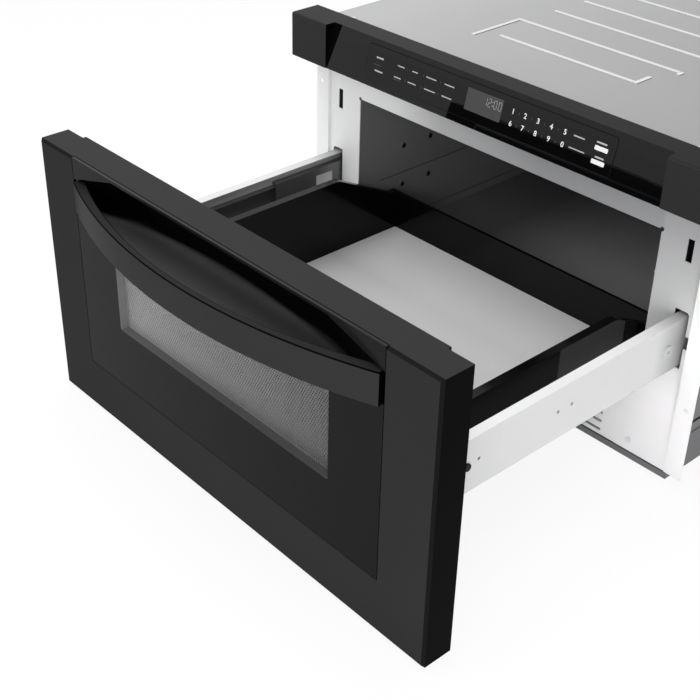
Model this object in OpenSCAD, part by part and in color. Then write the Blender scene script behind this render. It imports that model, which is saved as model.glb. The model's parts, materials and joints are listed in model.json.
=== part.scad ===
// Built-in microwave drawer, drawn with its drawer open.
// Millimetres. The origin is the centre of the base, on the surface that it stands on.
// +X is the right-hand side seen from the front, +Y points into the kitchen cabinet, +Z is up.
// Pieces of the cabinet are drawn from the face of the front frame, pieces of the drawer
// from the face of the drawer front.

/* [Body] */
// Distance that the drawer front stands out past each side of the body
side_margin = 25; // [23:0.5:28]
// Depth of the body behind the face of the front frame
body_d = 540; // [520:1:600]
// Height of the body's top above the surface that it stands on
body_h = 378; // [377:1:381]
// Thickness of the body's sheet steel
sheet_t = 1.2; // [0.8:0.1:1.4]

/* [Drawer front] */
// Width of the drawer front and of the control bezel above it
front_w = 605; // [602:1:612]
// Height of the drawer front
front_h = 318.3; // [316:0.1:320]
// Thickness of the drawer front
front_t = 36; // [35.5:0.1:37]
// Gap between the drawer front and the surface below the appliance
front_lift = 2.5; // [2:0.1:4]
// Width of the two stiles beside the dark panel
stile_w = 63.5; // [60:0.5:65]
// Height of the rail below the dark panel
rail_h = 62.5; // [55:0.5:70]
// Chamfer round the face of the drawer front
face_chamfer = 2.8; // [1:0.1:3]
// Distance that the drawer opens
travel = 356; // [300:1:360]

/* [Handle] */
// Height of the bowed grip
grip_h = 34.7; // [30:0.1:35]
// Height of the grip's lower edge above the bottom of the drawer front
grip_z = 257.3; // [256:0.1:258]
// Distance that the grip stands out in the middle
grip_bow = 48; // [35:1:60]
// Thickness of the grip in the middle
grip_t = 7.4; // [6:0.1:9]
// Depth of the finger pocket behind the face
pocket_d = 29; // [20:1:30]

/* [Window] */
// Distance between the window and each side of the drawer front
window_margin = 133; // [120:1:150]
// Height of the window's lower edge above the bottom of the drawer front
window_z = 138; // [120:1:150]
// Height of the window
window_h = 108; // [80:1:112]
// Depth of the window's reveal, down to the perforated screen
reveal_d = 10; // [9:0.1:12]

/* [Control bezel] */
// Height of the control bezel
bezel_h = 53.5; // [50:0.5:56]
// Gap between the drawer front and the bezel
bezel_gap = 8.7; // [7:0.1:9]
// Width of the square block at each end of the bezel
block_w = 61.3; // [40:0.1:65]
// Distance that the sloping face falls back between its lower and upper edge
slope_back = 13; // [8:0.5:15]
// Width of the control glass
glass_w = 355; // [330:1:420]

/* [Cooking space] */
// Distance between the inside of the cavity and each side of the body
cavity_margin = 53.5; // [53:0.5:57]
// Height inside the cavity
cavity_h = 202; // [198:1:206]
// Depth of the cavity behind the front frame
cavity_d = 425; // [421:1:440]
// Height of the cavity's floor above the base
cavity_z = 85; // [80:1:88]
// Distance between the inside of the tub and the inside of the cavity on each side
tub_margin = 17; // [14:0.5:34]
// Length inside the drawer tub, from the back of the drawer front
tub_l = 411; // [330:1:414]
// Height of the tub's side rims above the base
rim_z = 194.5; // [170:0.5:210]
// Height of the tub's rear rim above the base
rear_rim_z = 148.5; // [130:0.5:160]
// Height of the glass tray's upper face above the base
tray_z = 99; // [90:0.5:105]
// Thickness of the glass tray
tray_t = 5; // [4:0.5:6]

/* [Arms and slides] */
// Height of the drawer arms
arm_h = 60; // [56:0.5:61]
// Height of the arms' lower edge above the base
arm_z = 143.5; // [143:0.1:145]
// Length of the arms behind the drawer front
arm_l = 474; // [450:1:480]
// Height of the ball-bearing slides
slide_h = 45.6; // [42:0.2:46]
// Thickness of the ball-bearing slides
slide_t = 12.7; // [12.4:0.1:13]
// Length of the fixed rails
fixed_rail_l = 450; // [420:1:460]
// Length of the middle rails
middle_rail_l = 386; // [360:1:388]
// Length of the moving rails
moving_rail_l = 450; // [420:1:455]
// Diameter of the slides' balls
ball_d = 4; // [3.6:0.1:4.2]

/* [Drive] */
// Module of the rack and the pinion
gear_module = 1.5; // [1.4:0.1:1.6]
// Number of teeth on the pinion
pinion_teeth = 16; // [15:1:17]
// Width of the rack
rack_w = 7; // [5:0.5:7.5]

/* [Cooling and microwave parts] */
// Radius of the cooling fan
fan_r = 46; // [38:1:48]
// Number of fan blades
fan_blades = 7; // [5:1:9]
// Width of the transformer's core
transformer_w = 96; // [80:1:104]
// Length of the magnetron's body
magnetron_w = 90; // [80:1:95]
// Radius of the stirrer's blades
stirrer_r = 72; // [50:1:80]

/* [Fasteners] */
// Radius of a sheet-metal screw's head
screw_head_r = 3.6; // [3:0.1:4]
// Radius of a sheet-metal screw's shank
screw_r = 1.9; // [1.5:0.1:2]
// Radius of the holes in the cabinet flanges
flange_hole_r = 2.6; // [2.2:0.1:3]
// Distance between the two holes of a cabinet flange
flange_hole_pitch = 191; // [150:1:220]

/* [Hidden] */
$fn = 48;

// Clearances and small sizes that several pieces share
fit = 0.3;
running_fit = 0.05;
cut = 1;
ball_fit = 0.02;
edge_r = 2;
small_fn = 24;
fine_fn = 720;

// Places that follow from the driving sizes
seal_gap = 5;
bezel_d = front_t + seal_gap;
body_w = front_w - 2 * side_margin;
frame_y = -body_d / 2;
open_y = frame_y - bezel_d - travel;
front_top = front_lift + front_h;
bezel_z = front_top + bezel_gap;
bezel_top = bezel_z + bezel_h;
half_body = body_w / 2;
half_front = front_w / 2;
panel_half = half_front - stile_w;

// Front frame
case_t = 1;
frame_foot = 9.5;
frame_head = body_h - case_t;
frame_return = 12;
opening_margin = 1.5;
half_cavity = half_body - cavity_margin;
opening_half = half_cavity - opening_margin;
opening_z0 = cavity_z + opening_margin;
opening_z1 = cavity_z + cavity_h - opening_margin;
corner_relief = 2.5;
louvre_h = 3.6;
louvre_pitch = 11.3;
louvre_z = 16;
louvre_rows = 3;
louvre_in = 37;
louvre_half = half_cavity - louvre_in;
louvre_web = 14;
louvre_count = 4;
arm_hole_w = 17;
arm_hole_below = 2.8;
arm_hole_above = 4.5;
arm_hole_r = 4;
notch_w = 6;
notch_h = 15;
notch_z = 22;
slot_w = 7.5;
slot_h = 25.5;
slot_in = 20;
slot_x = half_body - slot_in;
slot_z = 275;

// Drawer arms, seen from the left or right of the middle plane
arm_in = 10.5;
arm_half = half_body - arm_in;
arm_flange = 11.2;
arm_mid = arm_half - arm_flange / 2;
slide_rise = 31;
slide_z = arm_z + slide_rise;
arm_inner = arm_half - sheet_t;
slide_x = arm_inner - slide_t;
arm_hole_x0 = arm_mid - arm_hole_w / 2;
arm_hole_x1 = arm_mid + arm_hole_w / 2;

// Case, base and rear
base_side_h = 45;
base_front_h = 7.5;
base_inset = 1;
bead_w = 5;
bead_h = 0.8;
bead_x = 113;
bead_y0 = 95;
bead_pitch = 56;
bead_rear = 20;
bead_long_share = 0.96;
vent_w = 3.5;
vent_l = 42;
vent_pitch = 9;
vent_count = 12;

// Cabinet flanges
flange_w = 20.5;
case_foot = 25;
tab_in = 32.5;
tab_w = 40;
tab_x = [half_body - tab_in - tab_w, half_body - tab_in];
tab_h = 30;
tab_screw_z = 24;
flange_step = 4;
flange_web = 26;
flange_z0 = 12;
flange_gap = 1.5;
flange_z1 = bezel_z - flange_gap;
flange_hole_out = 11.5;
flange_hole_x = half_body + flange_hole_out;
flange_hole_z = 195;

// Cavity liner
liner_t = 1;
rib_d = 2;
rib_y0 = 32;
rib_y1 = 395;
upper_rib_z = [160.5, 189.5];
rib_foot = 10;
lower_rib_z = [cavity_z + rib_foot, 122.5];
bracket_hole_y = [79, 127.5];
bracket_hole_z = [146.5, 201];
liner_back = sheet_t + cavity_d + liner_t;
ceiling_z = cavity_z + cavity_h + liner_t;

// Microwave feed
guide_w = 86;
guide_h = 40;
guide_t = 1;
guide_y0 = 170;
stirrer_y = 212;
stirrer_hole_r = 34;
stirrer_drop = 10;
stirrer_shaft_r = 3;
stirrer_hub_r = 9;
stirrer_t = 1;
stirrer_vane_w = 26;
stirrer_cover_w = 190;
stirrer_cover_h = 16;
stirrer_cover_t = 1.5;
stirrer_motor_r = 24.5;
stirrer_motor_h = 18;
magnetron_d = 64;
magnetron_h = 72;
magnetron_y = 446;
magnetron_gap = 9;
antenna_r = 8;
antenna_h = 22;
fin_count = 7;
fin_t = 0.8;
yoke_t = 2;
filter_box = [38, 34, 30];
antenna_hole_r = 11;

// High-voltage parts on the base
transformer_d = 78;
transformer_h = 82;
transformer_in = 145.5;
transformer_x = half_body - transformer_in;
transformer_y = 446;
core_share = 0.46;
winding_out = 14;
foot_t = 2;
capacitor_in = 225.5;
capacitor_x = half_body - capacitor_in;
capacitor_y = 470;
capacitor_w = 54;
capacitor_d = 33;
capacitor_h = 92;
terminal_h = 9;
terminal_w = 6.3;
terminal_t = 0.8;
clamp_w = 14;
clamp_t = 1;
diode_r = 4;
diode_l = 24;
lead_r = 0.7;
filter_in = 35.5;
filter_x = filter_in - half_body;
filter_y = 446;
filter_w = 92;
filter_d = 70;
board_t = 1.6;
standoff_h = 10;
standoff_r = 3;
choke_r = 15;
choke_coil_h = 22;
fuse_l = 34;
fuse_r = 4;

// Fan
fan_x = -132;
fan_frame_t = 20;
fan_y = 476;
fan_z = 240;
fan_frame_w = 106;
fan_gap = 2;
fan_hub_r = 17;
fan_shaft_r = 2.5;
fan_wheel_l = 15;
fan_blade_t = 1.6;
fan_pitch_angle = 38;
fan_motor_w = 54;
fan_motor_l = 34;
spider_w = 9;
spider_t = 3;
air_guide_t = 1.2;

// Lamp and thermal cutouts
lamp_in = 74;
lamp_x = lamp_in - half_cavity;
lamp_y = 66;
lamp_base_r = 13;
lamp_bulb_r = 9;
lamp_l = 34;
lamp_plate = 44;
cutout_r = 8.5;
cutout_h = 7;
cutout_flange = 24;
cutout_t = 1;

// Power cord's gland
gland_in = 72.5;
gland_x = gland_in - half_body;
gland_z = 64;
gland_r = 11;
gland_nut_r = 15;
gland_l = 18;
gland_bore_r = 4.5;

// Control bezel
bezel_wall = 2.5;
slope_foot = 1.2;
bezel_edge_r = 2;
glass_t = 1.5;
glass_seat = 0.1;
glass_foot = 7.5;
glass_h = 41;
glass_corner_r = 4;
display_x0 = -21.5;
display_x1 = 30.5;
display_foot = 9.8;
display_h = 24.6;
slope_angle = atan(slope_back / bezel_h);
board_inset = 9;
control_board_half = 168;
chip_h = 2.2;
power_board_in = 41.5;
power_board_w = 166;
power_board_x = [half_body - power_board_in - power_board_w, half_body - power_board_in];
power_board_y = [26, 146];
power_board_z = 320;
relay = [19, 15, 15];
heat_sink = [30, 22, 24];

// Drive
pitch_r = gear_module * pinion_teeth / 2;
rack_rise = 1.8;
rack_line_z = arm_z + rack_rise;
pinion_y = 30;
pinion_z = rack_line_z - pitch_r;
rack_back_h = 5.5;
rack_y0 = 60;
rack_y1 = 442;
gear_backlash = 0.3;
pressure_angle = 20;
pinion_shaft_r = 4;
gearbox = [24, 60, 56];
gearbox_gap = 1.5;
drive_motor_r = 17;
drive_motor_l = 46;
drive_plate_t = 1.5;

// Slides, drawn from the outer face of the fixed rail's web towards the arm
rail_t = 1.2;
fixed_lip = 10;
middle_web = 2.4;
middle_lip = 8.4;
moving_lip = 7.6;
fixed_rail_y = 5;
middle_rail_y = -107.4;
moving_rail_y = 16;
cage_t = 0.8;
outer_ball_x = 6.2;
inner_ball_x = 8.2;
fixed_inner_h = slide_h / 2 - rail_t;
outer_ball_h = fixed_inner_h - ball_d / 2 - ball_fit;
middle_outer_h = outer_ball_h - ball_d / 2 - ball_fit;
middle_inner_h = middle_outer_h - rail_t;
inner_ball_h = middle_inner_h - ball_d / 2 - ball_fit;
moving_outer_h = inner_ball_h - ball_d / 2 - ball_fit;
cage_l = 90;
ball_count = 10;
rail_window_l = 28;
rail_window_y = 66;
outer_cage_y = 60;
inner_cage_y = -60;
foot_h = 12;

// Door switches
switch_y = 32;
switch_body = [10, 28, 16];
switch_plate_t = 1.5;
switch_plate_l = 52;
switch_pitch = 18;
lever_t = 1;
lever_l = 27;
lever_w = 4;
lever_pin_r = 1.2;
hook_t = 5;
hook_l = 33;
hook_h = 20;
hook_root = 5;
hook_tip = 8;
hook_barb = 3;

// Drawer front
shell_t = 1.5;
rear_return = 60;

plate_out = 2.5;
cover_out = 1.5;
panel_t = 3;
panel_gap = 0.5;
top_gap = 0.1;
top_strip_h = 3.2;
lintel_h = 21.7;
cap_in = 4.2;
lip_in = 29.5;
lip_h = 8;
lip_out = 4;
lintel_step = 2;
cup_t = 1.5;
pocket_arc_d = 46;
mouth_in = 74;
grip_end_gap = 2.2;
grip_thicken = 6.4;
grip_reach = 1.4;
grip_floor_t = 3;
grip_edge_r = 1.6;
glass_gap = 0.3;
window_glass_t = 2.6;
screen_t = 0.5;
screen_hole = 2.2;
screen_pitch = 12;
window_corner_r = 3;
choke_out = 7;
choke_half = panel_half + choke_out;
choke_depth = 18;
choke_slot = 9;
choke_rim = 5;
cover_edge = 3;
cover_half = choke_half - cover_edge;
choke_z0 = 27;
choke_z1 = 304;

// Tub
tub_t = 1.2;
rim_w = 10;
rim_h = 1.6;
rim_slope_y = 84;
rim_bend = 22;
tub_corner_r = 3;
tray_gap = 0.5;
tray_corner_r = 6;
tray_edge_r = 1;

// Fasteners
screw_head_h = 2.2;
screw_l = 8;
bumper_r = 4;
bumper_l = 2.4;
bush_flange = 5;

tub_half = half_cavity - tub_margin;
tub_front = front_t + plate_out + cover_out;
tub_back = tub_front + tub_l;
white = [0.93, 0.93, 0.93];
graphite = [0.17, 0.17, 0.18];
black = [0.06, 0.06, 0.065];
zinc = [0.74, 0.75, 0.76];
aluminium = [0.8, 0.81, 0.82];
liner_grey = [0.34, 0.35, 0.36];
iron = [0.42, 0.42, 0.43];
brass = [0.78, 0.62, 0.3];
chrome = [0.85, 0.86, 0.87];
board_green = [0.1, 0.34, 0.22];
clear = [0.62, 0.7, 0.72, 0.5];

degree = 180 / PI;
half_share = 0.5;
case_half = half_body - sheet_t;
case_inner = case_half - case_t;
screw_hole_r = screw_r + running_fit;
tab_mid = (tab_x[0] + tab_x[1]) / 2;
arm_hole_z0 = arm_z - arm_hole_below;
arm_hole_z1 = arm_z + arm_h + arm_hole_above;
louvre_step = (2 * louvre_half + louvre_web) / louvre_count;
louvre_r = 1.6;
top_screw_in = 32;
top_screw_x = half_body - top_screw_in;
top_screw_y = 7;
side_screw_z = 210;
side_screw_pitch = 120;
bead_r = 2;
bead_y1 = 155;
bead_inset = 20;
bead_leg = 28;
bead_rows = floor((body_d - bead_y1 - bead_w - bead_rear) / bead_pitch);
side_slot_y = [36, 52];
side_slot_z = [57, 61];
rear_screw_in = 22.5;
rear_screw_pitch = 225;
rear_screw_x = [half_body - rear_screw_in - rear_screw_pitch, half_body - rear_screw_in];
rear_screw_z = 25;
liner_half = half_cavity + liner_t;
liner_flange = 7;
rib_r = 8;
perforation_r = 2;
perforation_pitch = 9;
floor_holes = [[-64, 351], [-61, 368], [-4, 352]];
guide_flange = 8;
magnetron_mid = magnetron_y + magnetron_d / 2;
guide_y1 = magnetron_y + magnetron_d + yoke_t;
motor_seat_z = ceiling_z + guide_h;
motor_ear = 5;
shaft_share = 0.6;
vane_z = cavity_z + cavity_h - stirrer_drop;
stirrer_hub_h = 5;
stirrer_vane_t = 2;
stirrer_vanes = 3;
vane_tilt = 14;
cover_z0 = cavity_z + cavity_h - stirrer_cover_h;
cover_r = 18;
anode_r = 19;
fin_pitch = (magnetron_h - yoke_t) / (fin_count + 1);
winding_shares = [0.14, 0.56];
winding_h_share = 0.32;
winding_in = 20;
can_half = (capacitor_w - capacitor_d) / 2;
clamp_z = 30;
clamp_x = capacitor_x + capacitor_w / 2;
diode_x0 = capacitor_x + can_half + terminal_t / 2;
diode_lead = 8;
diode_x1 = transformer_x + diode_lead;
standoff_in = 6;
coil_share = 0.28;
spider_y = fan_y + fan_frame_t + spider_t;
stack_share = 0.6;
cutout_places = [[112, 300], [-118, 330]];
gland_out = 6;
function inset_back(inset) = inset > 0 ? cut : 0;
bevel_share = 0.3;
boss_shares = [-1, -0.4, 0.4, 1];
boss_r = 2.5;
glass_proud = 0.4;
chip_shares = [-0.7, 0.5];
chip_w = 14;
power_mid_x = (power_board_x[0] + power_board_x[1]) / 2;
power_mid_y = (power_board_y[0] + power_board_y[1]) / 2;
post_share = 0.1;
relay_shares = [0.15, 0.4, 0.65];
rack_x0 = arm_inner - rack_w;
gearbox_x0 = rack_x0 - gearbox_gap - gearbox[0];
gearbox_y0 = 15;
gearbox_z1 = 144;
drive_motor_z = 108;
base_r = pitch_r * cos(pressure_angle);
root_r = pitch_r - 1.2 * gear_module;
tooth_angle = 360 / pinion_teeth - gear_backlash / pitch_r * degree;
tooth_radii = [root_r, base_r, pitch_r, pitch_r + gear_module / 2, pitch_r + gear_module];
tooth_pitch = PI * gear_module;
rack_mesh_y = pinion_y + bezel_d + travel;
rack_root_z = rack_line_z + 1.25 * gear_module;
rack_tip_z = rack_line_z - gear_module;
rack_half = (tooth_pitch - gear_backlash) / 4;
flank = tan(pressure_angle);
rack_c = [
    -rack_half - 1.25 * gear_module * flank, gear_module * flank - rack_half,
    rack_half - gear_module * flank, rack_half + 1.25 * gear_module * flank
];
rack_k0 = ceil((rack_y0 - rack_mesh_y) / tooth_pitch + half_share);
rack_k1 = floor((rack_y1 - rack_mesh_y) / tooth_pitch - half_share);
bracket_z0 = slide_z - slide_h / 2;
bracket_z1 = slide_z + slide_h / 2;
bracket_y = [62, 425];
bracket_lip = 11;
rail_window_h = 8;
ball_gap = 0.2;
ball_lip = 1.6;
outer_cage_l = 150;
outer_balls_n = 7;
inner_cage_l = 220;
inner_balls_n = 11;
switch_in = 6;
switch_x = slot_x - switch_in;
switch_plate_half = 25;
switch_plate_z = [slot_z - switch_plate_half, slot_z + switch_plate_half];
lever_y = 29.5;
lever_pin_z = 257;
lever_face_y = 28.5;
lever_hub_r = 2.4;
lever_reach = 32;
terminal_shares = [0.25, 0.75];
pocket_r = (panel_half * panel_half + pocket_arc_d * pocket_arc_d) / (2 * pocket_arc_d);
pocket_cy = pocket_arc_d - pocket_r;
panel_edge = panel_half - panel_gap;
panel_z1 = front_h - top_gap;
strip_z = panel_z1 - top_strip_h;
lintel_z = strip_z - lintel_h;
mouth_half = panel_half - mouth_in;
pocket_z0 = grip_z + grip_floor_t;
post_w = 13;
post_x0 = panel_half - post_w;
post_d = 7;
post_lap = 6;
window_half = half_front - window_margin;
collar_t = 1.5;
cup_fillet = 15;
cup_back = pocket_d + lintel_step;
grip_end = 4;
grip_half = panel_half - grip_end;
grip_end_out = 3.3;
grip_chord = grip_bow - grip_end_out;
grip_r = (grip_half * grip_half + grip_chord * grip_chord) / (2 * grip_chord);
grip_end_w = 25;
grip_inner_half = grip_half - grip_end_w;
grip_inner_chord = grip_bow - grip_t;
grip_inner_r = (grip_inner_half * grip_inner_half + grip_inner_chord * grip_inner_chord) / (2 * grip_inner_chord);
screen_lap = 12;
screen_cols = 13;
screen_rows = 9;
choke_t = 1.2;
pan_in = 29;
choke_pan_half = panel_half - pan_in;
pan_below = 48;
pan_above = 7;
choke_pan_z = [window_z - pan_below, window_z + window_h + pan_above];
cover_in = 3;
tub_screw_in = 17;
tub_screw_x = tub_half - tub_screw_in;
tub_screw_low = 105;
tub_screw_pitch = 65;
tub_screw_z = [tub_screw_low, tub_screw_low + tub_screw_pitch];
arm_foot = 18;
arm_screw_in = 14.5;
arm_screw_x = arm_half - arm_screw_in;
arm_screw_below = 8.5;
arm_screw_above = 13.5;
arm_screw_z = [arm_z + arm_screw_below, arm_z + arm_h - arm_screw_above];
hook_screw_in = 13.5;
hook_screw_x = half_body - hook_screw_in;
hook_screw_below = 9;
hook_screw_above = 3;
hook_screw_z = [slot_z - hook_screw_below, slot_z + hook_screw_above];
arm_mark_z = 176;
arm_hole_shares = [0.0886, 0.1228, 0.3515, 0.3941];
arm_hole_ys = [for (k = arm_hole_shares) front_t + k * arm_l];
arm_boss_share = 0.708;
boss_drop = 2.6;
arm_boss = [front_t + arm_boss_share * arm_l, slide_z - boss_drop];
arm_boss_r = 7;
arm_notch_share = 0.591;
arm_notch_w = 8;
arm_notch_y = [front_t + arm_notch_share * arm_l, front_t + arm_notch_share * arm_l + arm_notch_w];
arm_notch_h = 2.5;
tub_z0 = tray_z - tray_t - tub_t;
rim_end = 4.5;
tub_end = tub_back + rim_end;
rim_low = 7;
rim_low_y = tub_back - rim_low;
rim_angle = 26.75;
rim_bend_y = 346;
rim_steps = 5;
skirt_h = 34;

// Straight block between two corners
module span(x, y, z) {
    translate([x[0], y[0], z[0]]) cube([x[1] - x[0], y[1] - y[0], z[1] - z[0]]);
}

// The same piece on both sides of the middle plane
module both() {
    children();
    mirror([1, 0, 0]) children();
}

module in_cabinet() {
    translate([0, frame_y, 0]) children();
}

module in_drawer() {
    translate([0, open_y, front_lift]) children();
}

// For drawer pieces whose heights are given above the base
module in_drawer_from_base() {
    translate([0, open_y, 0]) children();
}

module round_rect(x, y, r) {
    hull_w = x[1] - x[0];
    hull_h = y[1] - y[0];
    translate([x[0], y[0]]) {
        translate([r, 0]) square([hull_w - 2 * r, hull_h]);
        translate([0, r]) square([hull_w, hull_h - 2 * r]);
        for (cx = [r, hull_w - r], cy = [r, hull_h - r]) translate([cx, cy]) circle(r, $fn = small_fn);
    }
}

// Plate in the XZ plane, from y0 backwards, with the outline of its children
module upright(y0, t) {
    translate([0, y0 + t, 0]) rotate([90, 0, 0]) linear_extrude(t) children();
}

// Plate in the YZ plane, from x0 towards +X; its children are drawn with y across and z up
module sideways(x0, t) {
    translate([x0, 0, 0]) rotate([90, 0, 90]) linear_extrude(t) children();
}

// Cylinder along Y, from y0 to y1
module rod_y(x, z, r, y0, y1) {
    translate([x, y0, z]) rotate([-90, 0, 0]) cylinder(h = y1 - y0, r = r);
}

// Cylinder along X, from x0 to x1
module rod_x(y, z, r, x0, x1) {
    translate([x0, y, z]) rotate([0, 90, 0]) cylinder(h = x1 - x0, r = r);
}

// Cylinder along Z, from z0 to z1
module rod_z(x, y, r, z0, z1) {
    translate([x, y, z0]) cylinder(h = z1 - z0, r = r);
}

// Sheet-metal screw whose head points to -Y and whose shank runs to +Y from y
module screw_y(x, y, z) {
    rod_y(x, z, screw_head_r, y - screw_head_h, y);
    rod_y(x, z, screw_r, y - screw_head_h / 2, y + screw_l);
}

// Sheet-metal screw whose head points to +X and whose shank runs to -X from x
module screw_x(x, y, z) {
    rod_x(y, z, screw_head_r, x, x + screw_head_h);
    rod_x(y, z, screw_r, x - screw_l, x + screw_head_h / 2);
}

module base_pan() color(zinc) in_cabinet() difference() {
    union() {
        span([-half_body, half_body], [0, body_d], [0, sheet_t]);
        span([-half_body, half_body], [0, sheet_t], [0, base_front_h]);
        both() span([case_half, half_body], [sheet_t, body_d], [0, base_side_h]);
        both() span(tab_x, [sheet_t, 2 * sheet_t], [0, tab_h]);
    }
    both() rod_y(tab_mid, tab_screw_z, screw_hole_r, 0, frame_return);
}

module arm_opening() {
    difference() {
        translate([arm_hole_x0, arm_hole_z0]) square([arm_hole_w, arm_hole_z1 - arm_hole_z0]);
        translate([arm_hole_x1 - arm_hole_r, arm_hole_z1 - arm_hole_r]) difference() {
            square([arm_hole_r + cut, arm_hole_r + cut]);
            circle(arm_hole_r, $fn = small_fn);
        }
    }
}

module front_frame() color(white) in_cabinet() difference() {
    union() {
        span([-case_half, case_half], [0, sheet_t], [frame_foot, frame_head]);
        span([-case_inner, case_inner], [0, frame_return], [frame_head - sheet_t, frame_head]);
        both() span([case_inner - sheet_t, case_inner], [0, frame_return], [base_side_h, frame_head]);
    }
    upright(-cut, sheet_t + 2 * cut) {
        translate([-opening_half, opening_z0]) square([2 * opening_half, opening_z1 - opening_z0]);
        translate([-opening_half, opening_z1]) circle(corner_relief);
        translate([opening_half, opening_z1]) circle(corner_relief);
        arm_opening();
        mirror([1, 0]) arm_opening();
        translate([arm_hole_x1 - cut, arm_z + notch_z]) square([notch_w + cut, notch_h]);
    }
    both() span([slot_x - slot_w / 2, slot_x + slot_w / 2], [-cut, 2 * cut], [slot_z - slot_h / 2, slot_z + slot_h / 2]);
    for (row = [0 : louvre_rows - 1], k = [0 : louvre_count - 1]) upright(-cut, sheet_t + 2 * cut)
        translate([-louvre_half + k * louvre_step, louvre_z + row * louvre_pitch - louvre_h / 2])
            round_rect([0, louvre_step - louvre_web], [0, louvre_h], louvre_r);
    both() rod_y(tab_mid, tab_screw_z, screw_hole_r, -cut, 2 * cut);
    both() rod_z(top_screw_x, top_screw_y, screw_hole_r, frame_head - frame_return, frame_head + cut);
    both() for (z = [-1, 1]) rod_x(frame_return / 2, side_screw_z + z * side_screw_pitch, screw_hole_r, case_inner - frame_return, case_half);
}

module top_bead(x, y) {
    translate([0, 0, body_h - case_t / 2]) linear_extrude(bead_h + case_t / 2) round_rect(x, y, bead_r);
}

module outer_case() color(zinc) in_cabinet() difference() {
    union() {
        span([-case_half, case_half], [sheet_t, body_d], [body_h - case_t, body_h]);
        both() span([case_inner, case_half], [sheet_t, body_d], [case_foot, body_h]);
        top_bead([-bead_x + bead_inset, bead_x - bead_inset / 2], [bead_y0, bead_y0 + bead_w]);
        top_bead([bead_x - bead_inset / 2 - bead_w, bead_x - bead_inset / 2], [bead_y0, bead_y0 + bead_leg]);
        top_bead([-bead_x - bead_w, bead_x], [bead_y1, bead_y1 + bead_w]);
        top_bead([-bead_x - bead_w, -bead_x], [bead_y0 - bead_inset, bead_y1 + bead_w]);
        top_bead([bead_x, bead_x + bead_w], [bead_y1 - bead_w, bead_y1 + bead_w]);
        for (k = [1 : bead_rows]) top_bead([-bead_x * bead_long_share, bead_x * bead_long_share],
            [bead_y1 + k * bead_pitch, bead_y1 + k * bead_pitch + bead_w]);
    }
    both() rod_z(top_screw_x, top_screw_y, screw_hole_r, body_h - 2 * cut, body_h + cut);
    both() for (z = [-1, 1]) rod_x(frame_return / 2, side_screw_z + z * side_screw_pitch, screw_hole_r, case_inner - cut, case_half + cut);
    both() span([case_inner - cut, case_half + cut], side_slot_y, side_slot_z);
}

module rear_panel() color(zinc) in_cabinet() difference() {
    span([-case_inner, case_inner], [body_d - sheet_t, body_d], [sheet_t, body_h - case_t]);
    for (x = [fan_x, -fan_x], row = [0, 1], k = [0 : vent_count - 1])
        span([x + (k - vent_count / 2) * vent_pitch, x + (k - vent_count / 2) * vent_pitch + vent_w],
            [body_d - 2 * cut, body_d + cut],
            [fan_z - vent_l - vent_w + row * (vent_l + 2 * vent_w), fan_z - vent_w + row * (vent_l + 2 * vent_w)]);
    rod_y(gland_x, gland_z, gland_r + running_fit, body_d - 2 * cut, body_d + cut);
    both() for (x = rear_screw_x) rod_y(x, rear_screw_z, screw_hole_r, body_d - 2 * cut, body_d + cut);
}

module cabinet_flanges() color(white) in_cabinet() both() difference() {
    union() {
        span([case_half, half_body + flange_w], [-flange_step, sheet_t - flange_step], [flange_z0, flange_z1]);
        span([case_half, half_body], [-flange_step, flange_web], [base_side_h + fit, flange_z1]);
    }
    for (z = [-1, 1]) rod_y(flange_hole_x, flange_hole_z + z * flange_hole_pitch / 2, flange_hole_r, -flange_step - cut, 0);
    for (z = [-1, 1]) rod_x(frame_return / 2, side_screw_z + z * side_screw_pitch, screw_hole_r, case_half - cut, half_body + cut);
}

module side_pad(x0, t, z, inset) {
    sideways(x0, t) round_rect([rib_y0 + inset, rib_y1 - inset], [z[0] + inset, z[1] - inset], rib_r);
}

module cavity_liner() color(liner_grey) in_cabinet() difference() {
    union() {
        span([-liner_half, liner_half], [sheet_t, liner_back], [cavity_z - liner_t, ceiling_z]);
        span([-liner_half - liner_flange, liner_half + liner_flange], [sheet_t, sheet_t + liner_t],
            [cavity_z - liner_t - liner_flange, ceiling_z + liner_flange]);
        both() side_pad(half_cavity, liner_t + rib_d, upper_rib_z, 0);
        both() side_pad(half_cavity, liner_t + rib_d, lower_rib_z, 0);
    }
    span([-half_cavity, half_cavity], [-cut, liner_back - liner_t], [cavity_z, ceiling_z - liner_t]);
    both() side_pad(half_cavity - cut, cut + rib_d, upper_rib_z, liner_t);
    both() side_pad(half_cavity - cut, cut + rib_d, lower_rib_z, liner_t);
    both() for (y = bracket_hole_y, z = bracket_hole_z) rod_x(y, z, screw_hole_r, half_cavity - cut, liner_half + cut);
    rod_z(0, stirrer_y, stirrer_hole_r, ceiling_z - 2 * cut, ceiling_z + cut);
    for (i = [-1, 0, 1], j = [-1, 0, 1]) rod_z(lamp_x + i * perforation_pitch, lamp_y + j * perforation_pitch,
        perforation_r, ceiling_z - 2 * cut, ceiling_z + cut);
    for (i = [-3 : 3], j = [-1 : 1]) rod_y(fan_x + i * perforation_pitch, fan_z + j * perforation_pitch,
        perforation_r, liner_back - 2 * cut, liner_back + cut);
    for (p = floor_holes) rod_z(p[0], p[1], perforation_r / 2, cavity_z - 2 * cut, cavity_z + cut);
}

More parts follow.
